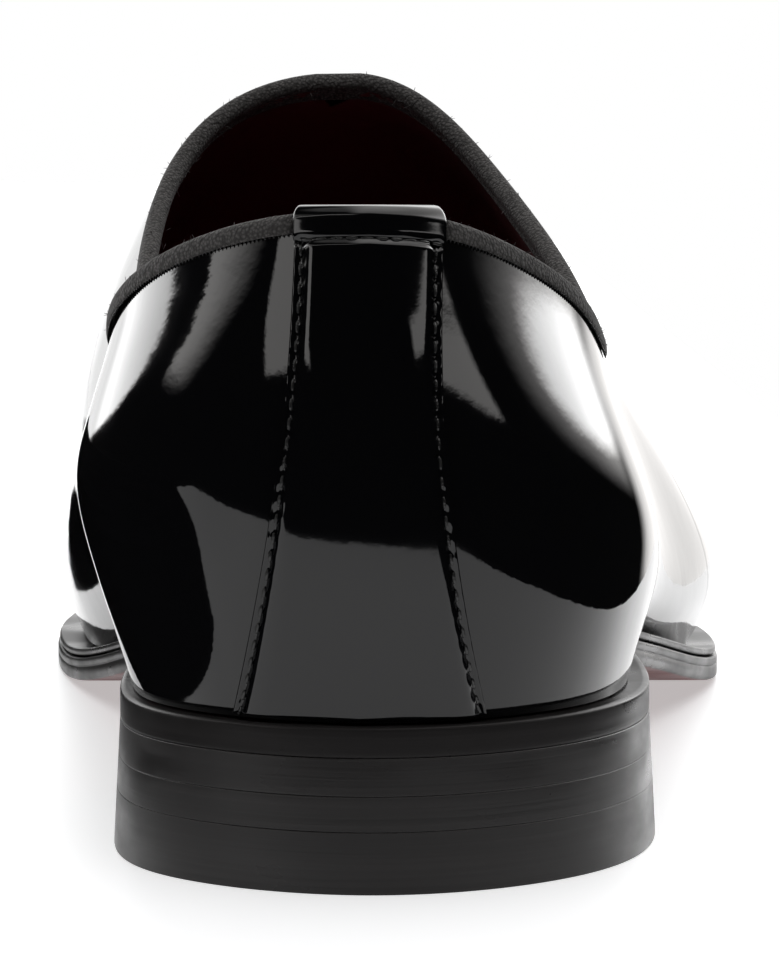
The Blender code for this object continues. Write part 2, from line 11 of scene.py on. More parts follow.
import bpy
import numpy as np
from bpy.props import FloatProperty, FloatVectorProperty, IntProperty, PointerProperty
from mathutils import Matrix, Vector


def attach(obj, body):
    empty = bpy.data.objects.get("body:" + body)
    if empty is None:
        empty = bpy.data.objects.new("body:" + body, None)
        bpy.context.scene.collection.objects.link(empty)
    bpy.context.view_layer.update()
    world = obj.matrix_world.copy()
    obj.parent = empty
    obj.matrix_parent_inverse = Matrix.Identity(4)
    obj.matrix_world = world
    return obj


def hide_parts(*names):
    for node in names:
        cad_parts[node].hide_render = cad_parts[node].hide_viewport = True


bl_info = {
    "name": "Patent loafer",
    "version": (1, 0, 0),
    "blender": (4, 5, 0),
    "location": "View3D > Sidebar > Loafer",
    "description": "Builds the pieces and finishes of a patent leather slip-on loafer",
    "category": "Object",
}

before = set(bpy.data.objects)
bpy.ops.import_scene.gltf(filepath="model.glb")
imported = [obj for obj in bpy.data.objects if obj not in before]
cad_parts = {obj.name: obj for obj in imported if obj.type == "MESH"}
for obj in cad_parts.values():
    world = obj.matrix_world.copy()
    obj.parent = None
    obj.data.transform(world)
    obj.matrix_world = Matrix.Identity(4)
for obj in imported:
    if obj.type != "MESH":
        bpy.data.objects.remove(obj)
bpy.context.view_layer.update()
BODY = "root"
MM = 0.001

# Driving sizes.
HEEL_STATION = 34.0  # station of the frame's origin
GAP = 0.3  # clearance where two pieces meet
WALL = 2.0  # upper leather with its lining
HEEL_LIFT = 16.0  # floor to the underside of the outsole at the heel
TOE_SPRING = 12.0
OUTSOLE_THICKNESS = 3.6
WELT_THICKNESS = 1.2
WELT_REACH = 5.0  # how far the welt runs in under the upper
WELT_START = 2.95  # loop position where the skived end of the welt lies
INSOLE_THICKNESS = 2.4
BREAST_STATION = 70.0  # front face of the heel
HEEL_FLARE = 0.85  # outward spread of the heel from its seat to the floor
STRAP_TOP_HALF = 8.4  # half width of the heel strap at the collar
STRAP_FOOT_HALF = 14.9  # half width of the heel strap at the seat
STRAP_SPREAD = 2.1  # how late the strap widens towards the seat
STRAP_SHIFT = -1.1  # sideways lean of the strap's foot
TAB_RISE = 0.5  # how far the strap's fold stands higher than the tape's
STRAP_TURN_IN = 9.0  # how far the heel strap is folded down inside the collar

# Side profile of the sole's underside, as stations.
WAIST_START = 66.0
TREAD_START = 190.0
TREAD_END = 220.0
TOE_END = 300.0
SKIVE_START = 50.0
SKIVE_LENGTH = 30.0
SEAT_FADE = 18.0  # length over which the sole's edge changes ahead of the heel

# Each spoke is a line in plan from a centre out to the edge of the foot. A turn of 0 points
# straight to the side, -90 straight back and 90 straight ahead. The crown is how broadly the
# wall rounds over at the crest.
Spoke = namedtuple("Spoke", "place centre_x centre_station turn top_station crown")
SPOKES = (
    Spoke("heel back", 0.0, 34.0, -90.0, 42.0, 1.0),
    Spoke("heel corner", 0.0, 34.0, -45.0, 45.0, 1.0),
    Spoke("heel side", 0.0, 34.0, 0.0, 51.0, 0.9),
    Spoke("breast", 0.0, 64.0, 0.0, 67.5, 0.6),
    Spoke("waist", 0.0, 94.0, 0.0, 94.3, 0.32),
    Spoke("instep", 0.0, 124.0, 0.0, 124.0, 0.28),
    Spoke("vamp", 0.0, 152.0, 0.0, 152.0, 0.6),
    Spoke("outer ball", 0.0, 180.0, 0.0, 179.6, 0.85),
    Spoke("inner ball", 0.0, 207.0, 0.0, 205.6, 1.0),
    Spoke("toe start", 0.0, 233.0, 0.0, 229.0, 1.1),
    Spoke("toe side", 0.0, 256.0, 0.0, 248.0, 1.1),
    Spoke("toe corner", -3.0, 258.0, 45.0, 259.0, 1.1),
    Spoke("toe tip", -5.0, 258.0, 90.0, 262.5, 1.1),
)

# Where the wall passes along each spoke: reach is the distance from the spoke's centre.
Wall = namedtuple("Wall", "feather widest widest_height shoulder shoulder_height ledge")
OUTER_WALLS = (
    Wall(34.0, 38.0, 42.0, 32.8, 80.0, 2.4),
    Wall(32.4, 36.2, 41.0, 25.2, 76.0, 2.2),
    Wall(32.2, 35.6, 37.0, 27.2, 66.5, 2.7),
    Wall(33.0, 38.0, 30.0, 29.2, 64.0, 2.3),
    Wall(34.2, 40.0, 27.0, 25.7, 71.0, 2.2),
    Wall(40.2, 45.4, 23.5, 19.6, 78.0, 3.2),
    Wall(46.4, 51.4, 21.0, 28.0, 62.0, 4.2),
    Wall(50.8, 55.0, 19.5, 32.6, 48.5, 5.0),
    Wall(49.8, 53.6, 18.8, 33.0, 40.5, 5.2),
    Wall(44.3, 47.9, 19.4, 29.6, 35.0, 5.2),
    Wall(35.9, 39.5, 21.2, 25.2, 32.6, 5.2),
    Wall(34.4, 37.6, 23.4, 24.0, 32.2, 5.2),
    Wall(38.0, 40.8, 25.4, 27.0, 32.4, 5.2),
)
INNER_WALLS = (
    OUTER_WALLS[0],
    Wall(31.8, 36.2, 42.0, 30.0, 76.0, 2.0),
    Wall(29.6, 35.6, 40.0, 31.6, 67.0, 1.6),
    Wall(29.2, 37.2, 39.0, 30.2, 64.5, 1.6),
    Wall(28.8, 39.4, 38.0, 31.4, 71.0, 1.8),
    Wall(33.0, 42.4, 33.0, 31.5, 78.0, 2.8),
    Wall(39.2, 46.0, 26.0, 35.0, 62.5, 3.6),
    Wall(44.6, 49.0, 21.5, 34.5, 50.0, 4.2),
    Wall(47.4, 50.6, 18.6, 34.2, 41.0, 4.2),
    Wall(45.0, 48.2, 19.0, 32.4, 35.0, 4.4),
    Wall(38.9, 42.1, 21.2, 28.4, 32.6, 4.8),
    Wall(35.4, 38.5, 23.4, 25.0, 32.2, 5.0),
    OUTER_WALLS[-1],
)

# Crest of the last over the foot, and the collar line seen from the side.
Crest = namedtuple("Crest", "station height sideways")
CREST = (
    Crest(42.0, 136.0, -1.0),
    Crest(71.0, 130.0, -3.5),
    Crest(97.0, 113.0, -5.0),
    Crest(125.0, 96.9, -5.6),
    Crest(152.0, 81.8, -5.4),
    Crest(179.0, 67.8, -5.0),
    Crest(205.0, 56.0, -4.5),
    Crest(229.0, 46.8, -4.5),
    Crest(248.0, 41.3, -4.5),
    Crest(262.5, 37.6, -4.5),
)
Collar = namedtuple("Collar", "station height")
COLLAR = (
    Collar(-4.0, 79.9),
    Collar(3.0, 78.4),
    Collar(12.0, 75.3),
    Collar(25.0, 69.6),
    Collar(42.0, 63.2),
    Collar(58.0, 60.8),
    Collar(72.0, 62.8),
    Collar(88.0, 69.3),
    Collar(106.0, 78.5),
    Collar(118.0, 86.5),
    Collar(128.0, 96.2),
    Collar(140.0, 110.0),
)

WALL_KNOTS = np.array([0.0, 0.6, 1.6, 3.0])  # pace of the wall at feather, widest, shoulder, crest
TOP = WALL_KNOTS[-1]
ROWS = len(SPOKES) - 1  # loop length of one side, heel back to toe tip
LOOP = 2 * ROWS
BACK = 1.5  # loop reach of the heel's back, to either side
NUDGE = 1e-3  # step in loop or wall position for working out slopes

TOP_CROWDING = 0.4  # wall steps draw closer towards the crest
THROAT_LEAD = 1.0  # how far the feet of the lines run ahead at the throat
FINE_STEPS = 400  # steps along the collar when its length is measured


def smooth_step(x):
    x = np.clip(x, 0.0, 1.0)
    return x * x * (3.0 - 2.0 * x)


def unit(vectors):
    """The vectors' directions, with length 1."""
    return vectors / np.linalg.norm(vectors, axis=-1, keepdims=True)


def dot(first, second):
    """Dot products of two rows of vectors."""
    return np.einsum("ij,ij->i", first, second)


def path_lengths(points):
    """How far along a path each of its points lies."""
    return np.concatenate([[0.0], np.cumsum(np.linalg.norm(np.diff(points, axis=0), axis=1))])


def profile(stations, values):
    """A smooth curve through a table's points, as a function (a natural cubic spline)."""
    x = np.asarray(stations, float)
    y = np.asarray(values, float)
    h = np.diff(x)
    n = len(x)
    matrix = np.zeros((n, n))
    right = np.zeros(n)
    matrix[0, 0], matrix[0, 1], right[0] = 2.0, 1.0, 3.0 * (y[1] - y[0]) / h[0]
    matrix[-1, -1], matrix[-1, -2], right[-1] = 2.0, 1.0, 3.0 * (y[-1] - y[-2]) / h[-1]
    for i in range(1, n - 1):
        matrix[i, i - 1 : i + 2] = h[i], 2.0 * (h[i - 1] + h[i]), h[i - 1]
        right[i] = 3.0 * (h[i] * (y[i] - y[i - 1]) / h[i - 1] + h[i - 1] * (y[i + 1] - y[i]) / h[i])
    slope = np.linalg.solve(matrix, right)

    def value(at):
        at = np.asarray(at, float)
        i = np.clip(np.searchsorted(x, at) - 1, 0, n - 2)
        f = np.clip((at - x[i]) / h[i], -1.0, 2.0)
        return hermite(y[i], slope[i] * h[i], y[i + 1], slope[i + 1] * h[i], f)

    return value


def hermite(a, slope_a, b, slope_b, f):
    g = 1.0 - f
    return g * g * ((1.0 + 2.0 * f) * a + f * slope_a) + f * f * ((1.0 + 2.0 * g) * b - g * slope_b)


def closed_slopes(rows):
    """Slopes of the smooth closed curve through evenly numbered rows."""
    one = np.eye(len(rows))
    matrix = 4.0 * one + np.roll(one, 1, axis=1) + np.roll(one, -1, axis=1)
    return np.linalg.solve(matrix, 3.0 * (np.roll(rows, -1, axis=0) - np.roll(rows, 1, axis=0)))


def closed_curve(rows):
    """The smooth closed curve through rows, as a function of the loop position."""
    rows = np.asarray(rows, float)
    slopes = closed_slopes(rows)

    def value(s):
        s = np.mod(s, len(rows))
        i = np.minimum(s.astype(int), len(rows) - 1)
        j = (i + 1) % len(rows)
        f = s - i
        if rows.ndim > 1:
            f = f[:, None]
        return hermite(rows[i], slopes[i], rows[j], slopes[j], f)

    return value


def spoke_direction(spoke, side):
    turn = math.radians(spoke.turn)
    return np.array([side * math.cos(turn), math.sin(turn)])


def loop_rows(reach):
    """Plan points round the foot: outer side from heel to toe, then inner side back to the heel."""
    rows = []
    sides = ((1, OUTER_WALLS, range(ROWS + 1)), (-1, INNER_WALLS, range(ROWS - 1, 0, -1)))
    for side, walls, order in sides:
        for k in order:
            spoke = SPOKES[k]
            centre = np.array([spoke.centre_x, spoke.centre_station])
            rows.append(centre + reach(walls[k]) * spoke_direction(spoke, side))
    return np.array(rows)


def loop_values(column):
    """One column of the wall tables in the same order as loop_rows."""
    outer = [getattr(wall, column) for wall in OUTER_WALLS]
    inner = [getattr(wall, column) for wall in INNER_WALLS]
    return np.array(outer + inner[ROWS - 1 : 0 : -1])


def mirrored_values(values):
    values = list(values)
    return np.array(values + values[ROWS - 1 : 0 : -1])


feather_plan = closed_curve(loop_rows(lambda wall: wall.feather))
widest_plan = closed_curve(loop_rows(lambda wall: wall.widest))
shoulder_plan = closed_curve(loop_rows(lambda wall: wall.shoulder))
sole_plan = closed_curve(loop_rows(lambda wall: wall.feather + wall.ledge))
widest_height = closed_curve(loop_values("widest_height"))
shoulder_height = closed_curve(loop_values("shoulder_height"))
top_station = closed_curve(mirrored_values(spoke.top_station for spoke in SPOKES))
top_crown = closed_curve(mirrored_values(spoke.crown for spoke in SPOKES))
crest_height = profile([c.station for c in CREST], [c.height for c in CREST])
crest_sideways = profile([c.station for c in CREST], [c.sideways for c in CREST])
collar_height = profile([c.station for c in COLLAR], [c.height for c in COLLAR])


def sole_underside(station):
    """Height of the outsole's underside: heel seat, waist, flat tread, toe spring."""
    waist = HEEL_LIFT * (1.0 - smooth_step((station - WAIST_START) / (TREAD_START - WAIST_START)))
    toe = np.clip((station - TREAD_END) / (TOE_END - TREAD_END), 0.0, None)
    return waist + TOE_SPRING * toe**2


def sole_top(station):
    return sole_underside(station) + OUTSOLE_THICKNESS


def welt_rise(station):
    """How far the welt, skived away towards the heel, lifts the upper off the outsole."""
    return (WELT_THICKNESS + GAP) * smooth_step((station - SKIVE_START) / SKIVE_LENGTH)


def upper_foot(station):
    """Height of the upper's lower edge."""
    return sole_top(station) + GAP + welt_rise(station)


def crest_fall(station):
    """Slope of the crest along the foot."""
    return crest_height(station + 0.5) - crest_height(station - 0.5)


def wall_matrix():
    """Equations for the wall's slopes: free at the feather, set at the crest."""
    h = np.diff(WALL_KNOTS)
    matrix = np.zeros((4, 4))
    matrix[0, :2] = 2.0, 1.0
    for i in (1, 2):
        matrix[i, i - 1 : i + 2] = 1.0 / h[i - 1], 2.0 / h[i - 1] + 2.0 / h[i], 1.0 / h[i]
    matrix[3, 3] = 1.0
    return np.linalg.inv(matrix), h


WALL_INVERSE, WALL_PACE = wall_matrix()


def wall_points(s):
    """Feather, widest, shoulder and crest points of the wall lines at loop positions s."""
    feather, widest, shoulder = feather_plan(s), widest_plan(s), shoulder_plan(s)
    top = top_station(s)
    points = np.empty((len(s), 4, 3))
    points[:, 0, :2], points[:, 0, 2] = feather, upper_foot(feather[:, 1])
    points[:, 1, :2], points[:, 1, 2] = widest, widest_height(s)
    points[:, 2, :2], points[:, 2, 2] = shoulder, shoulder_height(s)
    points[:, 3, 0], points[:, 3, 1], points[:, 3, 2] = crest_sideways(top), top, crest_height(top)
    return points


def wall_slopes(points, crown):
    """Slopes of each wall line at its four points. At the crest it lies in the crest's own slope."""
    h = WALL_PACE
    outward = points[:, 2, :2] - points[:, 3, :2]
    reach = np.linalg.norm(outward, axis=1)
    fall = crest_fall(points[:, 3, 1]) * outward[:, 1]
    right = np.empty_like(points)
    step = np.diff(points, axis=1)
    right[:, 0] = 3.0 * step[:, 0] / h[0]
    for i in (1, 2):
        right[:, i] = 3.0 * (step[:, i - 1] / h[i - 1] ** 2 + step[:, i] / h[i] ** 2)
    length = crown * np.linalg.norm(step[:, 2], axis=1) / h[2] / reach
    right[:, 3, :2] = -outward * length[:, None]
    right[:, 3, 2] = -fall * length
    return np.einsum("ij,njk->nik", WALL_INVERSE, right)


def last(s, t):
    """Points of the lasted surface: s runs round the foot, t up the wall from 0 to TOP."""
    s, t = np.broadcast_arrays(np.asarray(s, float), np.asarray(t, float))
    shape = s.shape
    s, t = s.ravel(), t.ravel()
    points = wall_points(s)
    slopes = wall_slopes(points, top_crown(s))
    i = np.clip(np.searchsorted(WALL_KNOTS, t, side="right") - 1, 0, 2)
    n = np.arange(len(s))
    pace = WALL_PACE[i][:, None]
    f = ((t - WALL_KNOTS[i]) / WALL_PACE[i])[:, None]
    found = hermite(points[n, i], slopes[n, i] * pace, points[n, i + 1], slopes[n, i + 1] * pace, f)
    return found.reshape(*shape, 3)


def last_frame(s, t):
    """Point, slope round the foot, slope up the wall and outward normal."""
    s, t = np.asarray(s, float), np.asarray(t, float)
    low, high = np.maximum(t - NUDGE, 0.0), np.minimum(t + NUDGE, TOP)
    point = last(s, t)
    round_foot = (last(s + NUDGE, t) - last(s - NUDGE, t)) / (2.0 * NUDGE)
    up_wall = (last(s, high) - last(s, low)) / (high - low)[..., None]
    fall = crest_fall(point[..., 1])
    crest_normal = np.stack([np.zeros_like(fall), -fall, np.ones_like(fall)], axis=-1)
    at_crest = (t > TOP - NUDGE)[..., None]
    normal = np.where(at_crest, crest_normal, np.cross(round_foot, up_wall))
    return point, round_foot, up_wall, unit(normal)


def halve(low, high, is_past, steps=40):
    """Bisection, for many values at once."""
    low, high = np.array(low, float), np.array(high, float)
    for _ in range(steps):
        middle = 0.5 * (low + high)
        past = is_past(middle)
        high = np.where(past, middle, high)
        low = np.where(past, low, middle)
    return 0.5 * (low + high)


def over_collar(points):
    return points[..., 2] > collar_height(points[..., 1])


def collar_t(s):
    """How far up the wall the collar cuts it; TOP in front of the throat."""
    s = np.asarray(s, float)
    t = halve(np.full(s.shape, WALL_KNOTS[1]), np.full(s.shape, TOP), lambda t: over_collar(last(s, t)))
    return np.where(over_collar(last(s, np.full(s.shape, TOP))), t, TOP)


def throat_position():
    """Loop position of the wall line that ends at the point of the throat."""
    waist, vamp = 4.0, 6.0
    return float(halve([waist], [vamp], lambda s: ~over_collar(last(s, np.full(1, TOP))))[0])


THROAT = throat_position()


def side_lines(collar_lines, vamp_lines):
    """Loop positions of one side's wall lines, at their tops and at their feet.

    The tops lie in even steps along the collar and then the crest. The feet run ahead of them,
    most at the throat, so that the lines leave the collar squarely.
    """
    fine = THROAT * (1.0 - np.linspace(1.0, 0.0, FINE_STEPS) ** 2)
    length = path_lengths(last(fine, collar_t(fine)))
    tops = np.interp(np.linspace(0.0, length[-1], collar_lines + 1), length, fine)
    tops = np.concatenate([tops, np.linspace(THROAT, ROWS, vamp_lines + 1)[1:]])
    feet = np.linspace(0.0, THROAT + THROAT_LEAD, collar_lines + 1)
    feet = np.concatenate([feet, np.linspace(THROAT + THROAT_LEAD, ROWS, vamp_lines + 1)[1:]])
    return tops, feet


def wall_grid(tops, feet, steps):
    """Loop and wall positions of a net over the upper, a row for each wall line."""
    even = np.linspace(0.0, 1.0, steps + 1)
    up = even * (1.0 + TOP_CROWDING * (1.0 - even))
    s = tops[:, None] + (feet - tops)[:, None] * (1.0 - up**3)[None, :]
    return s, collar_t(tops)[:, None] * up[None, :]


def place(points):
    """Shoe sizes to the frame's metres."""
    points = np.asarray(points, float)
    return (points - np.array([0.0, HEEL_STATION, 0.0])) * MM


def square_to(along):
    """Directions in plan to the right of the directions along."""
    return unit(np.column_stack([along[:, 1], -along[:, 0]]))


def plan_normals(plan):
    """Outward directions of a closed outline that runs outer side first and ends where it starts."""
    ring = plan[:-1]
    normals = square_to(np.roll(ring, -1, axis=0) - np.roll(ring, 1, axis=0))
    return np.concatenate([normals, normals[:1]])


def moved_plan(plan, s, out):
    """Points of a plan curve at loop positions s, moved outwards."""
    return plan(s) + out * square_to(plan(s + NUDGE) - plan(s - NUDGE))


def with_height(plan, height):
    return np.column_stack([plan, np.broadcast_to(height, len(plan))])


def heel_outline(spread, lines=70):
    """Plan of the heel at the seat, spread outwards, with a straight breast."""
    corner, instep = 1.0, 5.0
    outer_end, inner_end = (
        halve([corner], [instep], lambda s: sole_plan(side * s)[:, 1] > BREAST_STATION)[0]
        for side in (1, -1)
    )
    s = np.concatenate([np.linspace(0.0, outer_end, lines), -np.linspace(inner_end, 0.0, lines)[:-1]])
    plan = moved_plan(sole_plan, s, spread)
    plan[lines - 1 : lines + 1, 1] = BREAST_STATION
    return np.insert(plan, lines, 0.5 * (plan[lines - 1] + plan[lines]), axis=0)


def slide(s, t, move):
    """Loop and wall positions reached by moving along the last by a short way."""
    goal = last(s, t) + move
    for _ in range(3):
        point, round_foot, up_wall, _ = last_frame(s, t)
        rest = goal - point
        a, b, c = dot(round_foot, round_foot), dot(round_foot, up_wall), dot(up_wall, up_wall)
        p, q = dot(round_foot, rest), dot(up_wall, rest)
        det = a * c - b * b
        s = s + (c * p - b * q) / det
        t = np.clip(t + (a * q - b * p) / det, 0.0, TOP)
    return s, t


def down_wall(s, t, off_edge, depth):
    """Points at a depth down the wall from an edge, with their outward normals."""
    point, _, _, normal = last_frame(*slide(s, t, -depth * off_edge))
    return point, normal


def at_sideways(x, t_of):
    """Loop positions near the heel back where the wall reaches the sideways distances x."""
    low, high = np.full(x.shape, -BACK), np.full(x.shape, BACK)
    return halve(low, high, lambda s: last(s, t_of(s))[..., 0] > x)


def strap_width(up):
    """Middle and half width of the heel strap at a share of the wall's height."""
    spread = (1.0 - up) ** STRAP_SPREAD
    return STRAP_SHIFT * (1.0 - up * up), STRAP_TOP_HALF + (STRAP_FOOT_HALF - STRAP_TOP_HALF) * spread


def length_setting(name, description, size):
    """A length that a user can change; size is in millimetres."""
    return FloatProperty(name=name, description=description, default=size * MM, unit="LENGTH")


def light_setting(name, description, default):
    return FloatProperty(name=name, description=description, default=default, min=0.0)


def colour_setting(name, description, default):
    return FloatVectorProperty(
        name=name, description=description, subtype="COLOR", min=0.0, max=1.0, default=default)


def edges_setting(name, description, default):
    return FloatVectorProperty(name=name, description=description, size=2, unit="LENGTH", default=default)


class LoaferSizes(bpy.types.PropertyGroup):
    """Sizes that a user would change."""

    patent: length_setting("Patent", "Thickness of the patent leather", 1.3)
    lining: length_setting("Lining", "Thickness of the lining", 0.6)
    strap_rise: length_setting("Strap rise", "How far the heel strap stands off the upper", 1.2)
    stitch_pitch: length_setting("Stitch pitch", "From one stitch to the next", 2.25)
    stitch_length: length_setting("Stitch length", "Length of a stitch that shows", 1.5)
    stitch_width: length_setting("Thread", "Width of the thread", 0.5)
    skin_lines: IntProperty(
        name="Upper lines", description="Wall lines of the upper on each side", default=210, min=40)


class LoaferColours(bpy.types.PropertyGroup):
    """Colours that a user would change."""

    patent: colour_setting("Patent", "Colour under the lacquer", (0.0025, 0.0025, 0.003))
    tape: colour_setting("Collar tape", "Colour of the collar tape", (0.072, 0.068, 0.066))
    lining: colour_setting("Lining", "Colour of lining and sock", (0.11, 0.012, 0.019))
    thread: colour_setting("Thread", "Colour of the thread", (0.012, 0.012, 0.012))
    edge: colour_setting("Sole edge", "Colour of welt, sole edge and heel", (0.012, 0.011, 0.011))
    underside: colour_setting("Underside", "Colour of the sole's underside", (0.1, 0.018, 0.019))


class StudioSettings(bpy.types.PropertyGroup):
    """Camera and light."""

    lens: FloatProperty(name="Lens", description="Focal length in millimetres", default=154.0)
    eye: FloatVectorProperty(
        name="Eye", description="Where the camera stands", subtype="TRANSLATION", unit="LENGTH",
        default=(0.0, -0.5175, 0.093))
    aim: FloatVectorProperty(
        name="Aim", description="The camera's direction", subtype="DIRECTION", default=(0.005, 1.0, -0.094))
    walls: light_setting("Walls", "Brightness of the white walls beside the shoe", 5.6)
    lamp: light_setting("Lamp", "Brightness of the softer lamps", 2.2)
    floor_low: edges_setting("Floor low", "Left and near edges of the floor", (-0.8, -0.165))
    floor_high: edges_setting("Floor high", "Right and far edges of the floor", (0.118, 4.0))
    floor_glow: light_setting("Floor glow", "Light that comes through the floor from below", 0.45)
    floor_light: light_setting("Floor light", "Power of the large light over the floor", 120.0)


# Nets, sleeves and slabs.


def only(piece):
    """Selects one piece and nothing else."""
    bpy.ops.object.select_all(action="DESELECT")
    piece.select_set(True)
    bpy.context.view_layer.objects.active = piece


def edit(piece, *steps):
    """Runs edit-mode steps on all of one piece."""
    only(piece)
    bpy.ops.object.mode_set(mode="EDIT")
    bpy.ops.mesh.select_all(action="SELECT")
    for step in steps:
        step()
    bpy.ops.object.mode_set(mode="OBJECT")


def weld():
    closest = 0.002
    bpy.ops.mesh.remove_doubles(threshold=closest * MM)


def close_ends():
    bpy.ops.mesh.fill_holes(sides=0)


def new_piece(name, add, **settings):
    """Adds one primitive and names it."""
    bpy.ops.object.select_all(action="DESELECT")
    add(**settings)
    piece = bpy.context.object
    piece.name = name
    piece.data.name = name
    return piece


def net(name, points, inside_out=False):
    """A grid of quads pulled over a form; points holds its rows and columns in shoe sizes."""
    rows, columns = points.shape[:2]
    piece = new_piece(
        name, bpy.ops.mesh.primitive_grid_add, x_subdivisions=columns - 1, y_subdivisions=rows - 1, size=1.0)
    piece.data.vertices.foreach_set("co", place(points).astype(np.float32).ravel())
    if inside_out:
        piece.data.flip_normals()
    bpy.ops.object.shade_smooth()
    return piece


def sleeve(name, sections, inside_out=False):
    """A closed strip: each row of sections is a closed cross-section."""
    piece = net(name, np.concatenate([sections, sections[:, :1]], axis=1), inside_out)
    edit(piece, weld, close_ends)
    return piece


def slab(name, plan, rim, ground, across=9):
    """A closed plate. plan holds its outline, rim its edge from the bottom up, ground its bed's height."""
    outward = plan_normals(plan)
    ahead = smooth_step((plan[:, 1] - BREAST_STATION) / SEAT_FADE)
    rings = []
    for step in rim:
        inset = step.seat + (step.inset - step.seat) * ahead
        rings.append((plan - inset[:, None] * outward, step.height))
    outwards = np.linspace(0.0, 1.0, across + 1)[:-1]

    def flat(edge, level, shares):
        middle = 0.5 * (edge + edge[::-1])
        return [(middle + share * (edge - middle), level) for share in shares]

    places = flat(*rings[0], outwards) + rings + flat(*rings[-1], outwards[::-1])
    points = np.stack([with_height(at, ground(at[:, 1]) + height) for at, height in places], axis=1)
    piece = net(name, points, inside_out=True)
    edit(piece, weld)
    return piece


def apply_modifier(piece, kind, **settings):
    """Adds one modifier to a piece and applies it."""
    modifier = piece.modifiers.new(kind.title(), kind)
    for setting, value in settings.items():
        setattr(modifier, setting, value)
    only(piece)
    bpy.ops.object.modifier_apply(modifier=modifier.name)


def keep(piece, finish, slot, *nodes):
    """Gives a piece its finish and ties it to the frame."""
    piece.data.materials.clear()
    piece.data.materials.append(finish)
    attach(piece, BODY)
    if nodes:
        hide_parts(*nodes)


# Finishes.

MIX_COLOURS, MIX_RESULT = (6, 7), 2  # sockets of a Mix node that mixes colours
WHITE = (1.0, 1.0, 1.0)


def math_node(tree, operation, first, second):
    """A Math node whose inputs are sockets or plain numbers."""
    made = tree.nodes.new("ShaderNodeMath")
    made.operation = operation
    for socket, value in zip(made.inputs, (first, second)):
        if isinstance(value, (int, float)):
            socket.default_value = value
        else:
            tree.links.new(value, socket)
    return made.outputs["Value"]


def plus_share(tree, first, second, share):
    """first, with a share of second added."""
    return math_node(tree, "ADD", first, math_node(tree, "MULTIPLY", second, share))


def noise_node(tree, vector, scale, detail, times=1.0):
    """A Noise node on a vector. scale is a number per metre, or a socket that is taken so many times."""
    made = tree.nodes.new("ShaderNodeTexNoise")
    made.inputs["Detail"].default_value = detail
    tree.links.new(vector, made.inputs["Vector"])
    if isinstance(scale, (int, float)):
        made.inputs["Scale"].default_value = scale
    else:
        tree.links.new(math_node(tree, "MULTIPLY", scale, times), made.inputs["Scale"])
    return made.outputs["Fac"]


def colour_mix(tree, mask, first, second):
    """A Mix node between two colours, which are sockets or plain colours."""
    made = tree.nodes.new("ShaderNodeMix")
    made.data_type = "RGBA"
    tree.links.new(mask, made.inputs["Factor"])
    for index, value in zip(MIX_COLOURS, (first, second)):
        if isinstance(value, bpy.types.NodeSocket):
            tree.links.new(value, made.inputs[index])
        else:
            made.inputs[index].default_value = (*value, 1.0)
    return made.outputs[MIX_RESULT]


def stretched(tree, vector, scale):
    """A vector scaled along its three axes."""
    made = tree.nodes.new("ShaderNodeMapping")
    made.inputs["Scale"].default_value = scale
    tree.links.new(vector, made.inputs["Vector"])
    return made.outputs["Vector"]


def span(tree, value, low, high, out_low, out_high):
    """A Map Range node, smooth and clamped."""
    made = tree.nodes.new("ShaderNodeMapRange")
    made.interpolation_type = "SMOOTHSTEP"
    tree.links.new(value, made.inputs["Value"])
    names = ("From Min", "From Max", "To Min", "To Max")
    for name, number in zip(names, (low, high, out_low, out_high)):
        made.inputs[name].default_value = number
    return made.outputs["Result"]


def shader_group(name, inputs, outputs, wire):
    """A shader group, made once. wire takes its tree and input sockets and gives its output values."""
    if name in bpy.data.node_groups:
        return bpy.data.node_groups[name]
    group = bpy.data.node_groups.new(name, "ShaderNodeTree")
    for socket in inputs:
        kind = "NodeSocketVector" if socket == "Place" else "NodeSocketFloat"
        group.interface.new_socket(name=socket, in_out="INPUT", socket_type=kind)
    for socket in outputs:
        group.interface.new_socket(name=socket, in_out="OUTPUT", socket_type="NodeSocketFloat")
    start, end = group.nodes.new("NodeGroupInput"), group.nodes.new("NodeGroupOutput")
    values = wire(group, *(start.outputs[socket] for socket in inputs))
    for socket, value in zip(outputs, values):
        group.links.new(value, end.inputs[socket])
    return group


def ripple_group():
    """Slow ripple of a lacquered skin, and its haze."""

    def wire(tree, at, scale):
        slow = noise_node(tree, at, scale, 0.0)
        quick = noise_node(tree, at, scale, 1.0, 3.1)
        fine = noise_node(tree, at, scale, 1.0, 11.0)
        height = plus_share(tree, plus_share(tree, slow, quick, 0.25), fine, 0.085)
        return height, noise_node(tree, at, scale, 3.0, 0.25)

    return shader_group("Lacquer ripple", ("Place", "Scale"), ("Height", "Haze"), wire)


def grain_group():
    """Pores and fine grain of smooth leather, with a soft mottle."""

    def wire(tree, at, scale):
        cells = tree.nodes.new("ShaderNodeTexVoronoi")
        tree.links.new(at, cells.inputs["Vector"])
        tree.links.new(scale, cells.inputs["Scale"])
        fine = noise_node(tree, at, scale, 4.0, 2.0)
        height = plus_share(tree, cells.outputs["Distance"], fine, 0.5)
        return height, noise_node(tree, at, scale, 4.0, 0.06)

    return shader_group("Leather grain", ("Place", "Scale"), ("Height", "Mottle"), wire)


def scratch_group():
    """Fine level lines left by burnishing an edge, with a soft mottle."""

    def wire(tree, at):
        lines = noise_node(tree, stretched(tree, at, (14.0, 14.0, 1500.0)), 1.0, 3.0)
        return lines, noise_node(tree, stretched(tree, at, (60.0, 60.0, 160.0)), 1.0, 4.0)

    return shader_group("Burnish lines", ("Place",), ("Lines", "Mottle"), wire)


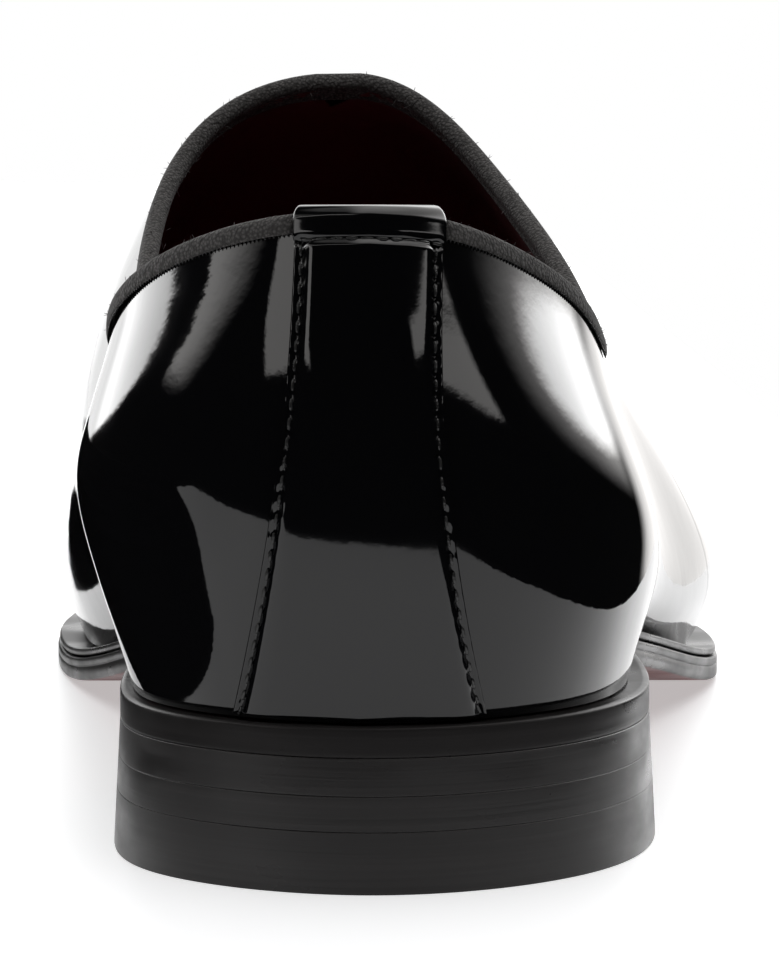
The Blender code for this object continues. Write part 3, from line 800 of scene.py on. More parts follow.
class Finish:
    """One new material with its shader, and short ways to wire it."""

    def __init__(self, name, colour, roughness):
        self.material = bpy.data.materials.new(name)
        self.material.use_nodes = True
        self.tree = self.material.node_tree
        self.shader = self.tree.nodes["Principled BSDF"]
        self.shader.inputs["Base Color"].default_value = (*colour, 1.0)
        self.shader.inputs["Roughness"].default_value = roughness
        self.place = self.tree.nodes.new("ShaderNodeTexCoord").outputs["Object"]

    def set(self, **values):
        for name, value in values.items():
            self.shader.inputs[name.replace("_", " ").title().replace("Ior", "IOR")].default_value = value

    def group(self, tree, **values):
        made = self.tree.nodes.new("ShaderNodeGroup")
        made.node_tree = tree
        self.tree.links.new(self.place, made.inputs["Place"])
        for name, value in values.items():
            made.inputs[name].default_value = value
        return made.outputs

    def bump(self, height, distance):
        made = self.tree.nodes.new("ShaderNodeBump")
        made.inputs["Strength"].default_value = 1.0
        made.inputs["Distance"].default_value = distance
        self.tree.links.new(height, made.inputs["Height"])
        self.tree.links.new(made.outputs["Normal"], self.shader.inputs["Normal"])

    def vary(self, socket, value, low, high, out_low, out_high):
        result = span(self.tree, value, low, high, out_low, out_high)
        self.tree.links.new(result, self.shader.inputs[socket])

    def mix(self, mask, first, second):
        """Base colour between two colours; either may be a socket."""
        result = colour_mix(self.tree, mask, first, second)
        self.tree.links.new(result, self.shader.inputs["Base Color"])
        return result


def shade(colour, amount):
    """A colour made lighter or darker."""
    return tuple(min(1.0, amount * c) for c in colour)


def patent_finish(name, colours, scale=170.0, depth=0.022 * MM):
    """Black leather under a mirror-gloss lacquer."""
    made = Finish(name, colours.patent, 0.04)
    made.set(ior=1.47)
    ripple = made.group(ripple_group(), Scale=scale)
    made.bump(ripple["Height"], depth)
    made.vary("Roughness", ripple["Haze"], 0.35, 0.7, 0.025, 0.075)
    return made.material


def leather_finish(name, colour, roughness, scale=900.0, depth=0.05 * MM):
    """Smooth leather with fine grain."""
    made = Finish(name, colour, roughness)
    grain = made.group(grain_group(), Scale=scale)
    made.bump(grain["Height"], depth)
    made.mix(grain["Mottle"], shade(colour, 0.7), shade(colour, 1.3))
    made.vary("Roughness", grain["Mottle"], 0.3, 0.7, roughness - 0.08, roughness + 0.08)
    return made.material


def burnished(name, colour, roughness, gloss, dark, light):
    """Waxed and burnished edge leather with fine level lines: the finish and its base colour."""
    made = Finish(name, colour, roughness)
    made.set(specular_ior_level=gloss)
    lines = made.group(scratch_group())
    made.bump(lines["Lines"], 0.02 * MM)
    made.vary("Roughness", lines["Mottle"], 0.3, 0.7, roughness - 0.09, roughness + 0.09)
    return made, made.mix(lines["Lines"], shade(colour, dark), shade(colour, light))


def burnished_finish(name, colour, roughness, gloss=0.32):
    """The burnished edge of welt and heel."""
    made, _ = burnished(name, colour, roughness, gloss, 0.5, 1.7)
    return made.material


def sole_finish(colours):
    """Burnished edge over a dyed underside."""
    made, edge = burnished("sole_wax", colours.edge, 0.34, 0.1, 0.6, 1.5)
    under = made.tree.nodes.new("ShaderNodeAttribute")
    under.attribute_name = "under"
    made.mix(under.outputs["Fac"], edge, colours.underside)
    return made.material


def tape_finish(colours):
    """Fuzzy woven collar tape, with painted shade and light of its weave in the base colour."""
    made = Finish("woven_tape", colours.tape, 0.9)
    made.set(specular_ior_level=0.2, sheen_weight=0.1, sheen_roughness=0.5)
    weave = made.group(grain_group(), Scale=2300.0)
    made.bump(weave["Height"], 0.2 * MM)
    # Painted shade and light of the weave: the base colour is lighter where the weave's bump height is low
    # and darker where it is high.
    hollow = span(made.tree, weave["Height"], 0.35, 0.95, 0.0, 1.0)
    made.mix(hollow, shade(colours.tape, 1.35), shade(colours.tape, 0.5))
    return made.material


# The upper.

# Soft troughs and ridges of the skin: where each lies on the last, its half sizes and depth.
Fold = namedtuple("Fold", "place loop height along up depth")
FOLDS = (
    Fold("inner counter hollow", -1.9, 1.55, 0.55, 0.16, -0.35),
    Fold("inner counter swell", -2.1, 1.05, 0.8, 0.3, 0.25),
    Fold("outer counter hollow", 2.3, 1.45, 0.9, 0.2, -0.2),
    Fold("beside strap, inner", -0.62, 1.72, 0.14, 0.3, -0.12),
    Fold("beside strap, outer", 0.6, 1.72, 0.14, 0.3, -0.12),
    Fold("first vamp roll", 7.4, 2.6, 0.22, 0.7, -0.14),
    Fold("first vamp roll, inner", -7.3, 2.6, 0.22, 0.7, -0.14),
    Fold("second vamp roll", 8.1, 2.5, 0.2, 0.6, -0.1),
    Fold("second vamp roll, inner", -8.0, 2.5, 0.2, 0.6, -0.1),
)
COLLAR_SHARE = 0.62  # share of the wall lines that end at the collar
SKIN_STEPS = 60  # steps up the wall of the skin
LINING_STEPS = 36
LINING_GAP = 0.05  # between skin and lining


def fold_depth(s, t):
    """How far the soft folds lift or sink the skin."""
    total = np.zeros(np.broadcast(s, t).shape)
    for fold in FOLDS:
        round_foot = (np.mod(s - fold.loop + ROWS, LOOP) - ROWS) / fold.along
        up_wall = (t - fold.height) / fold.up
        total += fold.depth * np.exp(-round_foot**2 - up_wall**2)
    return total


def skin(s, t, lift=0.0):
    """Points of the upper's outer face with its folds, or of a face that stands lift off it."""
    point, _, _, normal = last_frame(s, t)
    return point + (fold_depth(s, t) + lift)[..., None] * normal


def skin_normals(s, t):
    """Outward normals of the folded skin."""
    d = 2.0 * NUDGE
    low, high = np.maximum(t - d, 0.0), np.minimum(t + d, TOP)
    round_foot = skin(s + d, t) - skin(s - d, t)
    up_wall = skin(s, high) - skin(s, low)
    at_crest = (t > TOP - d)[..., None]
    return unit(np.where(at_crest, last_frame(s, t)[3], np.cross(round_foot, up_wall)))


def upper_net(lines, steps):
    """Loop and wall positions of a closed net over the upper; its last row lies on its first."""
    collar_lines = int(lines * COLLAR_SHARE)
    tops, feet = side_lines(collar_lines, lines - collar_lines)
    tops, feet = (np.concatenate([side, LOOP - side[-2::-1]]) for side in (tops, feet))
    return wall_grid(tops, feet, steps)


def shell(name, s, t, points, thickness):
    """A closed skin of even thickness that keeps the last's own normals."""
    piece = net(name, points, inside_out=True)
    facing = piece.data.attributes.new("facing", "FLOAT_VECTOR", "POINT")
    facing.data.foreach_set("vector", skin_normals(s, t).astype(np.float32).ravel())
    edit(piece, weld)
    apply_modifier(piece, "SOLIDIFY", thickness=thickness, offset=-1.0)
    count = len(piece.data.vertices)
    normals = np.empty(3 * count, np.float32)
    piece.data.attributes["facing"].data.foreach_get("vector", normals)
    normals = normals.reshape(-1, 3)
    normals[count // 2 :] *= -1.0
    piece.data.normals_split_custom_set_from_vertices(normals)
    piece.data.attributes.remove(piece.data.attributes["facing"])
    return piece


class LOAFER_OT_upper(bpy.types.Operator):
    """Patent leather upper, lasted, open at the collar"""

    bl_idname = "loafer.upper"
    bl_label = "Upper"

    def execute(self, context):
        sizes, colours = context.scene.loafer_sizes, context.scene.loafer_colours
        s, t = upper_net(sizes.skin_lines, SKIN_STEPS)
        piece = shell("patent_upper", s, t, skin(s, t), sizes.patent)
        keep(piece, patent_finish("patent_leather", colours), "patent_leather", "upper")
        return {"FINISHED"}


class LOAFER_OT_lining(bpy.types.Operator):
    """Leather lining inside the upper"""

    bl_idname = "loafer.lining"
    bl_label = "Lining"

    def execute(self, context):
        sizes, colours = context.scene.loafer_sizes, context.scene.loafer_colours
        s, t = upper_net(sizes.skin_lines // 2, LINING_STEPS)
        collar = np.abs(t[:, -1] - TOP) > 0.0
        rise = np.linalg.norm(last_frame(s[:, -1], t[:, -1])[2], axis=1)
        t = t * np.where(collar, 1.0 - LINING_END / rise / t[:, -1], 1.0)[:, None]
        points = skin(s, t, -sizes.patent / MM - LINING_GAP)
        piece = shell("lining", s, t, points, sizes.lining)
        finish = leather_finish("lining_leather", colours.lining, 0.5)
        keep(piece, finish, "sock_leather")
        return {"FINISHED"}


# The collar tape.


def collar_frame(s):
    """Wall positions and points of the collar, its outward normals and the directions up off its edge."""
    t = collar_t(s)
    point, _, _, normal = last_frame(s, t)
    return t, point, normal, unit(np.cross(normal, np.gradient(point, axis=0)))


def folded(s, edge, outside, inside, rise, arc_steps):
    """A skin folded over the collar's edge. outside and inside hold a depth and a lift for each line."""
    t, point, normal, off_edge = edge
    rows = []
    for depth, lift in outside:
        at, facing = down_wall(s, t, off_edge, depth)
        rows.append(at + lift * facing)
    face, back = outside[-1].lift, -WALL - inside[0].lift
    for turn in np.linspace(0.0, math.pi, arc_steps):
        across = 0.5 * (face + back) + 0.5 * (face - back) * math.cos(turn)
        rows.append(point + across * normal + rise * math.sin(turn) * off_edge)
    for depth, lift in inside:
        at, facing = down_wall(s, t, off_edge, depth)
        rows.append(at - (WALL + lift) * facing)
    return np.stack(rows, axis=1)


# Depth below the collar's edge and lift off the upper, from the tape's lower edge up.
Hem = namedtuple("Hem", "depth lift")
TAPE_FACE = (
    Hem(1.5, 0.06), Hem(1.6, 0.16), Hem(1.56, 0.3), Hem(1.42, 0.4), Hem(1.22, 0.48),
    Hem(1.0, 0.54), Hem(0.8, 0.58), Hem(0.6, 0.62), Hem(0.32, 0.66),
)
TAPE_INSIDE = (
    Hem(2.5, 0.05), Hem(2.6, 0.16), Hem(2.5, 0.28), Hem(2.1, 0.32), Hem(1.75, 0.24),
    Hem(1.55, 0.02), Hem(1.36, -0.02), Hem(0.9, 0.0), Hem(0.4, -0.05),
)
TAPE_BACK = (Hem(1.4, 0.03), Hem(0.7, 0.05))
TAPE_BACK_INSIDE = (Hem(2.3, -0.1), Hem(1.9, -0.2), Hem(1.6, -0.5), Hem(0.8, -0.5))
TAPE_RISE = 1.0  # how far the tape stands over the collar's edge
TAPE_BACK_RISE = 0.1  # and its inner face
TAPE_ARC, TAPE_BACK_ARC = 13, 7  # lines round the fold of both faces
LINING_END = 1.7  # depth at which the lining ends under the tape
TAPE_LINES = 190  # lines along each side of the collar
TAPE_SEAM = 1.62  # depth of the stitches along the tape's lower edge
TAPE_SEAM_LIFT = 0.14
TAPE_TOOTH = (0.5, 0.22)  # length and width of one of them
TAPE_PITCH = 0.62
LINT_HAIRS = 420
LINT_HAIR = (1.3, 0.1)  # length and width of a stray fibre
LINT_LIFT = 0.6  # how far the fibres' middles stand off the upper
LINT_TANGLE = 1.3  # how far the fibres turn away from standing straight out


def tape_line():
    """Even loop positions along the collar from the strap round the throat and back."""
    side = side_lines(TAPE_LINES, 2)[0][: TAPE_LINES + 1]
    shortest = 0.03
    sides = []
    for sign in (1.0, -1.0):
        edge = np.array([sign * (STRAP_TOP_HALF + GAP)])
        end = abs(at_sideways(edge, collar_t)[0])
        sides.append(np.concatenate([[end], side[side > end + shortest]]))
    return np.concatenate([sides[0], LOOP - sides[1][-2::-1]])


class LOAFER_OT_tape(bpy.types.Operator):
    """Ribbed tape folded over the edge of collar and throat"""

    bl_idname = "loafer.tape"
    bl_label = "Collar tape"

    def execute(self, context):
        s = tape_line()
        edge = collar_frame(s)
        face = folded(s, edge, TAPE_FACE, TAPE_INSIDE[::-1], TAPE_RISE, TAPE_ARC)
        back = folded(s, edge, TAPE_BACK, TAPE_BACK_INSIDE[::-1], TAPE_BACK_RISE, TAPE_BACK_ARC)
        piece = sleeve("collar_tape", np.concatenate([face, back[:, ::-1]], axis=1), inside_out=True)
        finish = tape_finish(context.scene.loafer_colours)
        keep(piece, finish, "binding_tape", "collar_binding")
        stitch_row("tape_lint", LINT_HAIR, [self.lint(edge)], finish, "binding_tape", 0.0, 4, 4)
        return {"FINISHED"}

    def lint(self, edge):
        """Places and directions of stray fibres on the tape."""
        chance = np.random.default_rng(7)
        _, point, normal, off_edge = edge
        k = chance.integers(0, len(point), LINT_HAIRS)
        turn = chance.uniform(-0.5, math.pi, LINT_HAIRS)[:, None]
        outward = np.cos(turn) * normal[k] + np.sin(turn) * off_edge[k]
        at = point[k] - 0.5 * WALL * normal[k] + np.cos(turn) * (0.5 * WALL + LINT_LIFT) * normal[k]
        at += np.sin(turn) * TAPE_RISE * off_edge[k]
        along = unit(outward + LINT_TANGLE * chance.normal(size=(LINT_HAIRS, 3)))
        return at, along, unit(np.cross(along, chance.normal(size=(LINT_HAIRS, 3))))


# The heel strap.

# Distance in from the strap's edge and share of its rise: rolled edge, stitched furrow, crown.
Edge = namedtuple("Edge", "inset rise")
STRAP_EDGE = (
    Edge(0.0, 0.15), Edge(0.02, 0.42), Edge(0.1, 0.62), Edge(0.25, 0.7), Edge(0.45, 0.64),
    Edge(0.62, 0.53), Edge(0.8, 0.47), Edge(0.98, 0.5), Edge(1.2, 0.62), Edge(1.5, 0.79),
    Edge(1.9, 0.92), Edge(2.4, 0.97), Edge(4.0, 0.99),
)
TAB_EDGE = (Edge(0.0, 0.7), Edge(0.02, 0.9), Edge(0.1, 0.98), Edge(0.25, 1.0))
STRAP_INSETS = np.array([edge.inset for edge in STRAP_EDGE])
SEAM_INSET = 0.8
SEAM_WIDTH = 0.4  # half width of a stitched furrow
TAB_SEAM = 2.6  # depth of the level stitch row under the tab
PUCKER = 0.14  # share of the rise by which the leather dips at each stitch hole
TAB_FURROW = 0.34  # and along the level row
TAB_HOLES = 0.2  # share of the level furrow that comes and goes with its holes
TAB_PITCH = 0.8  # step of the level row's stitches, as a share of the stitch pitch
TAB_POINTS = 60  # points along the level row
TAB_END, TAB_FADE = 0.3, 0.9  # depth under the level row where the leg begins, and length of the change
TAB_LEVEL = 0.9  # how much of the collar's sideways fall the tab makes up
TAB_STEPS = 15  # steps round the fold of the tab
STRAP_FOOT = 0.012  # share of the wall left bare above the seat
STRAP_ROWS = 260
STRAP_TURN_STEPS = 10  # lines down inside the collar
BACK_STEPS = 601  # places across the back where the collar is measured
STRAP_BACK = 0.12  # how far the strap's inner face stands off the upper


def edge_share(edges, inset):
    """Share of the strap's rise at a distance in from its edge."""
    return np.interp(inset, [edge.inset for edge in edges], [edge.rise for edge in edges])


def strap_share(inset, depth, pitch):
    """Share of the strap's rise: the stitched leg, and the smooth tab over its level row."""
    below = depth - TAB_SEAM
    hole = 0.5 + 0.5 * np.cos(2.0 * math.pi * below / pitch)
    leg = edge_share(STRAP_EDGE, inset)
    leg = leg - PUCKER * hole * np.exp(-(((inset - SEAM_INSET) / SEAM_WIDTH) ** 2))
    level_row = TAB_FURROW * (1.0 - TAB_HOLES + TAB_HOLES * hole) * np.exp(-((below / SEAM_WIDTH) ** 2))
    level_row = level_row * smooth_step(inset / SEAM_INSET)
    tab = edge_share(TAB_EDGE, inset)
    return leg + (tab - leg) * smooth_step((TAB_END - below) / TAB_FADE) - level_row


def strap_positions(x_of, ups):
    """Loop and wall positions of points across the back, at shares of the wall's height."""
    x = np.stack([x_of(*strap_width(up)) for up in ups])
    near = np.linspace(-BACK, BACK, BACK_STEPS)
    top = collar_t(near)

    def wall_at(s):
        return ups[:, None] * np.interp(s, near, top)

    s = at_sideways(x, wall_at)
    return s, wall_at(s)


def strap_columns(middle, half):
    """Sideways places of the strap's lines, from its inner edge to its outer edge."""
    return np.concatenate([middle - half + STRAP_INSETS, [middle], (middle + half - STRAP_INSETS)[::-1]])


class LOAFER_OT_strap(bpy.types.Operator):
    """Patent strip up the back of the heel, folded over the collar as a tab"""

    bl_idname = "loafer.strap"
    bl_label = "Heel strap"

    def execute(self, context):
        sizes, colours = context.scene.loafer_sizes, context.scene.loafer_colours
        s, t = strap_positions(strap_columns, np.linspace(STRAP_FOOT, 1.0, STRAP_ROWS))
        lift = sizes.strap_rise / MM * self.shares(s, t, sizes.stitch_pitch / MM)
        face = self.skin_over(s, t, lift)
        back = self.skin_over(s, t, np.full(lift.shape, STRAP_BACK))
        piece = sleeve("heel_strap_patent", np.concatenate([face, back[:, ::-1]], axis=1))
        keep(piece, patent_finish("strap_patent", colours), "patent_leather", "heel_strap")
        return {"FINISHED"}

    def shares(self, s, t, pitch):
        """Share of the rise at each point of the strap's leg."""
        step = np.linalg.norm(np.diff(skin(s, t), axis=0), axis=2)
        depth = np.concatenate([np.cumsum(step[::-1], axis=0)[::-1], np.zeros((1, s.shape[1]))])
        inset = np.concatenate([STRAP_INSETS, [STRAP_TOP_HALF], STRAP_INSETS[::-1]])
        return strap_share(inset[None, :], depth, pitch)

    def skin_over(self, s, t, lift):
        """One face of the strap: up the leg, over the collar and down inside."""
        point, _, up_wall, normal = last_frame(s[-1], t[-1])
        off_edge = unit(up_wall)
        height = lift[-1]
        middle = point - 0.5 * WALL * normal
        level = TAB_RISE + TAB_LEVEL * (np.max(point[:, 2]) - point[:, 2])
        bend = []
        for turn in np.linspace(0.0, math.pi, TAB_STEPS):
            across = (0.5 * WALL + height) * math.cos(turn)
            over = (height + level) * math.sin(turn)
            bend.append(middle + across[:, None] * normal + over[:, None] * off_edge)
        for depth in np.linspace(0.0, STRAP_TURN_IN, STRAP_TURN_STEPS)[1:]:
            at, facing = down_wall(s[-1], t[-1], off_edge, depth)
            bend.append(at - (WALL + height)[:, None] * facing)
        return np.concatenate([skin(s[:-1], t[:-1], lift[:-1]), np.stack(bend)])


# Insole, welt, outsole and heel.

# Height and inset of the edge from the bottom up, and its inset over the heel.
Rim = namedtuple("Rim", "inset height seat")
INSOLE_RIM = (
    Rim(0.0, 0.0, 0.0), Rim(0.0, INSOLE_THICKNESS - 0.7, 0.0), Rim(0.2, INSOLE_THICKNESS - 0.2, 0.2),
    Rim(0.7, INSOLE_THICKNESS, 0.7), Rim(2.4, INSOLE_THICKNESS - 0.15, 2.4),
)
INSOLE_LINES, OUTSOLE_LINES = 140, 150  # lines across, on each side
DYED_EDGE = 0.1  # height up to which the sole's edge is dyed like its underside

# Shares of the welt's width and thickness round its cross-section.
WELT_SECTION = (
    (0.0, 0.0), (0.93, 0.0), (0.985, 0.12), (1.0, 0.4), (1.0, 0.7), (0.985, 0.9), (0.95, 1.0),
    (0.5, 1.0), (0.0, 1.0),
)
WELT_LINES = 260

# Layers of the heel from the floor up, with hairline joints between them.
Layer = namedtuple("Layer", "piece node bottom top slot roughness")
HEEL_LAYERS = (
    Layer("heel_top_piece", "top_piece", 0.0, 7.32, "top_piece_rubber", 0.36),
    Layer("heel_lower_lift", "lower_lift", 7.35, 11.5, "heel_leather", 0.34),
    Layer("heel_upper_lift", "upper_lift", 11.53, HEEL_LIFT - 0.03, "heel_leather", 0.34),
)
HEEL_ROUNDING = 0.1
HEEL_SHARP = math.radians(40.0)  # edges that turn by more are rounded
HEEL_SMOOTH = math.radians(50.0)  # edges that turn by less are shaded smooth


def whole_loop(lines):
    return np.linspace(0.0, LOOP, 2 * lines + 1)


class LOAFER_OT_insole(bpy.types.Operator):
    """Insole with its leather sock"""

    bl_idname = "loafer.insole"
    bl_label = "Insole"

    def execute(self, context):
        colours = context.scene.loafer_colours
        plan = feather_plan(whole_loop(INSOLE_LINES))
        plan = plan - (WALL + 2.0 * GAP) * plan_normals(plan)
        piece = slab("sock_insole", plan, INSOLE_RIM, upper_foot)
        keep(piece, leather_finish("sock_leather", colours.lining, 0.42, 1200.0), "sock_leather", "insole")
        return {"FINISHED"}


class LOAFER_OT_sole(bpy.types.Operator):
    """Welt and outsole"""

    bl_idname = "loafer.sole"
    bl_label = "Welt and outsole"

    def execute(self, context):
        colours = context.scene.loafer_colours
        self.welt(colours)
        self.outsole(colours)
        return {"FINISHED"}

    def welt(self, colours):
        loop = np.linspace(WELT_START, LOOP - WELT_START, WELT_LINES)
        outside = moved_plan(sole_plan, loop, -GAP)
        inside = moved_plan(feather_plan, loop, -WELT_REACH)
        rows = []
        for out, up in WELT_SECTION:
            at = inside + out * (outside - inside)
            station = at[:, 1]
            rows.append(with_height(at, sole_top(station) + GAP + up * (welt_rise(station) - GAP)))
        piece = sleeve("welt_strip", np.stack(rows, axis=1), inside_out=True)
        keep(piece, burnished_finish("welt_wax", colours.edge, 0.32, 0.12), "welt_leather", "welt")

    def outsole(self, colours):
        full = OUTSOLE_THICKNESS
        rim = (
            Rim(1.2, 0.0, 0.4), Rim(0.6, 0.02, 0.1), Rim(0.25, 0.15, 0.02), Rim(0.05, 0.4, 0.0),
            Rim(0.0, 0.8, 0.0),
            Rim(0.0, full - 1.62, 0.0), Rim(0.12, full - 1.52, 0.0), Rim(0.3, full - 1.4, 0.0),
            Rim(0.12, full - 1.28, 0.0), Rim(0.0, full - 1.18, 0.0), Rim(0.0, full - 0.5, 0.0),
            Rim(0.08, full - 0.2, 0.04), Rim(0.35, full, 0.22), Rim(1.0, full, 1.0),
        )
        plan = sole_plan(whole_loop(OUTSOLE_LINES))
        piece = slab("outsole_leather", plan, rim, sole_underside)
        corners = np.array([vertex.co for vertex in piece.data.vertices]) / MM
        station = corners[:, 1] + HEEL_STATION
        low = (corners[:, 2] - sole_underside(station) < DYED_EDGE) & (station > BREAST_STATION)
        under = piece.data.attributes.new("under", "FLOAT", "POINT")
        under.data.foreach_set("value", low.astype(np.float32))
        keep(piece, sole_finish(colours), "sole_leather", "outsole")


class LOAFER_OT_heel(bpy.types.Operator):
    """Two leather lifts and the top piece"""

    bl_idname = "loafer.heel"
    bl_label = "Stacked heel"

    def execute(self, context):
        colours = context.scene.loafer_colours
        for layer in HEEL_LAYERS:
            finish = burnished_finish(layer.piece + "_wax", colours.edge, layer.roughness)
            keep(self.block(layer), finish, layer.slot, layer.node)
        return {"FINISHED"}

    def block(self, layer):
        """A flat disc of the heel's outline, drawn down to its bottom and rounded along its edges."""
        bottom, top = layer.bottom, layer.top
        low, high = (heel_outline(HEEL_FLARE * (1.0 - z / HEEL_LIFT)) for z in (bottom, top))
        piece = new_piece(
            layer.piece, bpy.ops.mesh.primitive_circle_add, vertices=len(low), fill_type="NGON")
        order = list(piece.data.polygons[0].vertices)
        for index, at in zip(order, place(with_height(high, top))):
            piece.data.vertices[index].co = at
        drop = {"value": (0.0, 0.0, (bottom - top) * MM)}
        edit(piece, lambda: bpy.ops.mesh.extrude_region_move(TRANSFORM_OT_translate=drop))
        dropped, spread = (place(with_height(plan, bottom)) for plan in (high, low))
        middle = 0.5 * (bottom + top) * MM
        for vertex in piece.data.vertices:
            if vertex.co.z < middle:
                nearest = np.argmin(np.linalg.norm(dropped - np.array(vertex.co), axis=1))
                vertex.co = spread[nearest]
        edit(
            piece,
            lambda: bpy.ops.mesh.normals_make_consistent(inside=False),
            lambda: bpy.ops.mesh.select_mode(type="EDGE"),
            lambda: bpy.ops.mesh.select_all(action="DESELECT"),
            lambda: bpy.ops.mesh.edges_select_sharp(sharpness=HEEL_SHARP),
            lambda: bpy.ops.mesh.bevel(offset=HEEL_ROUNDING * MM, segments=3, clamp_overlap=False),
            lambda: bpy.ops.mesh.select_mode(type="VERT"),
        )
        only(piece)
        bpy.ops.object.shade_smooth_by_angle(angle=HEEL_SMOOTH)
        apply_modifier(piece, "WEIGHTED_NORMAL", keep_sharp=True)
        return piece


# Stitching.

STITCH_FLATNESS = 0.8  # height of a thread as a share of its width


def one_stitch(length, across, segments, rings):
    """A short round-ended thread lying along X, with its top along Z."""
    model = new_piece(
        "stitch", bpy.ops.mesh.primitive_uv_sphere_add, segments=segments, ring_count=rings, radius=0.5)
    turn = {"value": math.pi / 2, "orient_axis": "Y", "center_override": (0.0, 0.0, 0.0)}
    edit(
        model,
        lambda: bpy.ops.transform.rotate(**turn),
        lambda: bpy.ops.transform.resize(value=(length, across, STITCH_FLATNESS * across)),
    )
    return model


def stitch_row(name, size, rows, finish, slot, sink=0.1, segments=10, rings=6):
    """Copies of one stitch set along rows, each with its points, directions and normals."""
    model = one_stitch(*size, segments, rings)
    corners = np.array([v.co for v in model.data.vertices])
    faces = [tuple(p.vertices) for p in model.data.polygons]
    bpy.data.objects.remove(model)
    points, polygons = [], []
    for point, along, normal in rows:
        side = np.cross(normal, along)
        for k in range(len(point)):
            base = len(points) * len(corners)
            turned = corners[:, :1] * along[k] + corners[:, 1:2] * side[k] + corners[:, 2:] * normal[k]
            points.append(point[k] - sink * normal[k] + turned)
            polygons += [tuple(base + i for i in face) for face in faces]
    mesh = bpy.data.meshes.new(name)
    mesh.from_pydata([tuple(p) for p in place(np.concatenate(points))], [], polygons)
    mesh.shade_smooth()
    piece = bpy.data.objects.new(name, mesh)
    bpy.context.scene.collection.objects.link(piece)
    keep(piece, finish, slot)


def along_path(point, normal, pitch, start=0.0):
    """Even places along a path, with its direction and normal there."""
    length = path_lengths(point)
    at = np.arange(start + 0.5 * pitch, length[-1], pitch)

    def even(values):
        return np.stack([np.interp(at, length, values[:, k]) for k in range(3)], axis=1)

    along = unit(even(np.gradient(point, axis=0)))
    facing = even(normal)
    return even(point), along, unit(facing - dot(facing, along)[:, None] * along)


class LOAFER_OT_stitches(bpy.types.Operator):
    """Stitch rows of strap, tab and collar tape"""

    bl_idname = "loafer.stitches"
    bl_label = "Stitches"

    def execute(self, context):
        sizes, colours = context.scene.loafer_sizes, context.scene.loafer_colours
        size = (sizes.stitch_length / MM, sizes.stitch_width / MM)
        thread = leather_finish("thread", colours.thread, 0.3, 3000.0)
        rows = [self.leg_row(sizes, sign) for sign in (-1.0, 1.0)]
        rows.append(self.tab_row(sizes))
        stitch_row("strap_stitches", size, rows, thread, "patent_leather")
        stitch_row("tape_stitches", TAPE_TOOTH, [self.tape_row()], thread, "binding_tape", 0.0)
        return {"FINISHED"}

    def leg_row(self, sizes, sign):
        """The row along one edge of the strap."""

        def across(middle, half):
            return np.array([middle + sign * (half - SEAM_INSET)])

        s, t = strap_positions(across, np.linspace(1.0, STRAP_FOOT, STRAP_ROWS))
        s, t = s[:, 0], t[:, 0]
        pitch = sizes.stitch_pitch / MM
        at, along, facing = along_path(skin(s, t), last_frame(s, t)[3], pitch, TAB_SEAM)
        return at + 0.5 * sizes.strap_rise / MM * facing, along, facing

    def tab_row(self, sizes):
        """The level row under the tab."""
        half = STRAP_TOP_HALF - SEAM_INSET
        s = at_sideways(np.linspace(-half, half, TAB_POINTS), collar_t)
        t = collar_t(s)
        at, facing = down_wall(s, t, unit(last_frame(s, t)[2]), TAB_SEAM)
        lift = (1.0 - TAB_FURROW) * sizes.strap_rise / MM
        return along_path(at + lift * facing, facing, TAB_PITCH * sizes.stitch_pitch / MM)

    def tape_row(self):
        """The short stitches across the tape's lower edge."""
        s = tape_line()
        t, _, _, off_edge = collar_frame(s)
        at, facing = down_wall(s, t, off_edge, TAPE_SEAM)
        at, along, facing = along_path(at + TAPE_SEAM_LIFT * facing, facing, TAPE_PITCH)
        return at, np.cross(facing, along), facing


# Studio, in metres.

FLAG_LOW, FLAG_HIGH = (-0.16, -0.046, -0.04), (-0.066, 0.25, 0.047)  # corners of the black block
FLAG_ROUNDING = 0.03
FILL_AT, FILL_SIZE = (0.0, 0.2, 2.6), 5.0  # the large light over the floor
FLAG_COLOUR = (0.004, 0.004, 0.004)
FLOOR_COLOUR = (0.86, 0.86, 0.87)
CREAM = (1.0, 0.98, 0.965)


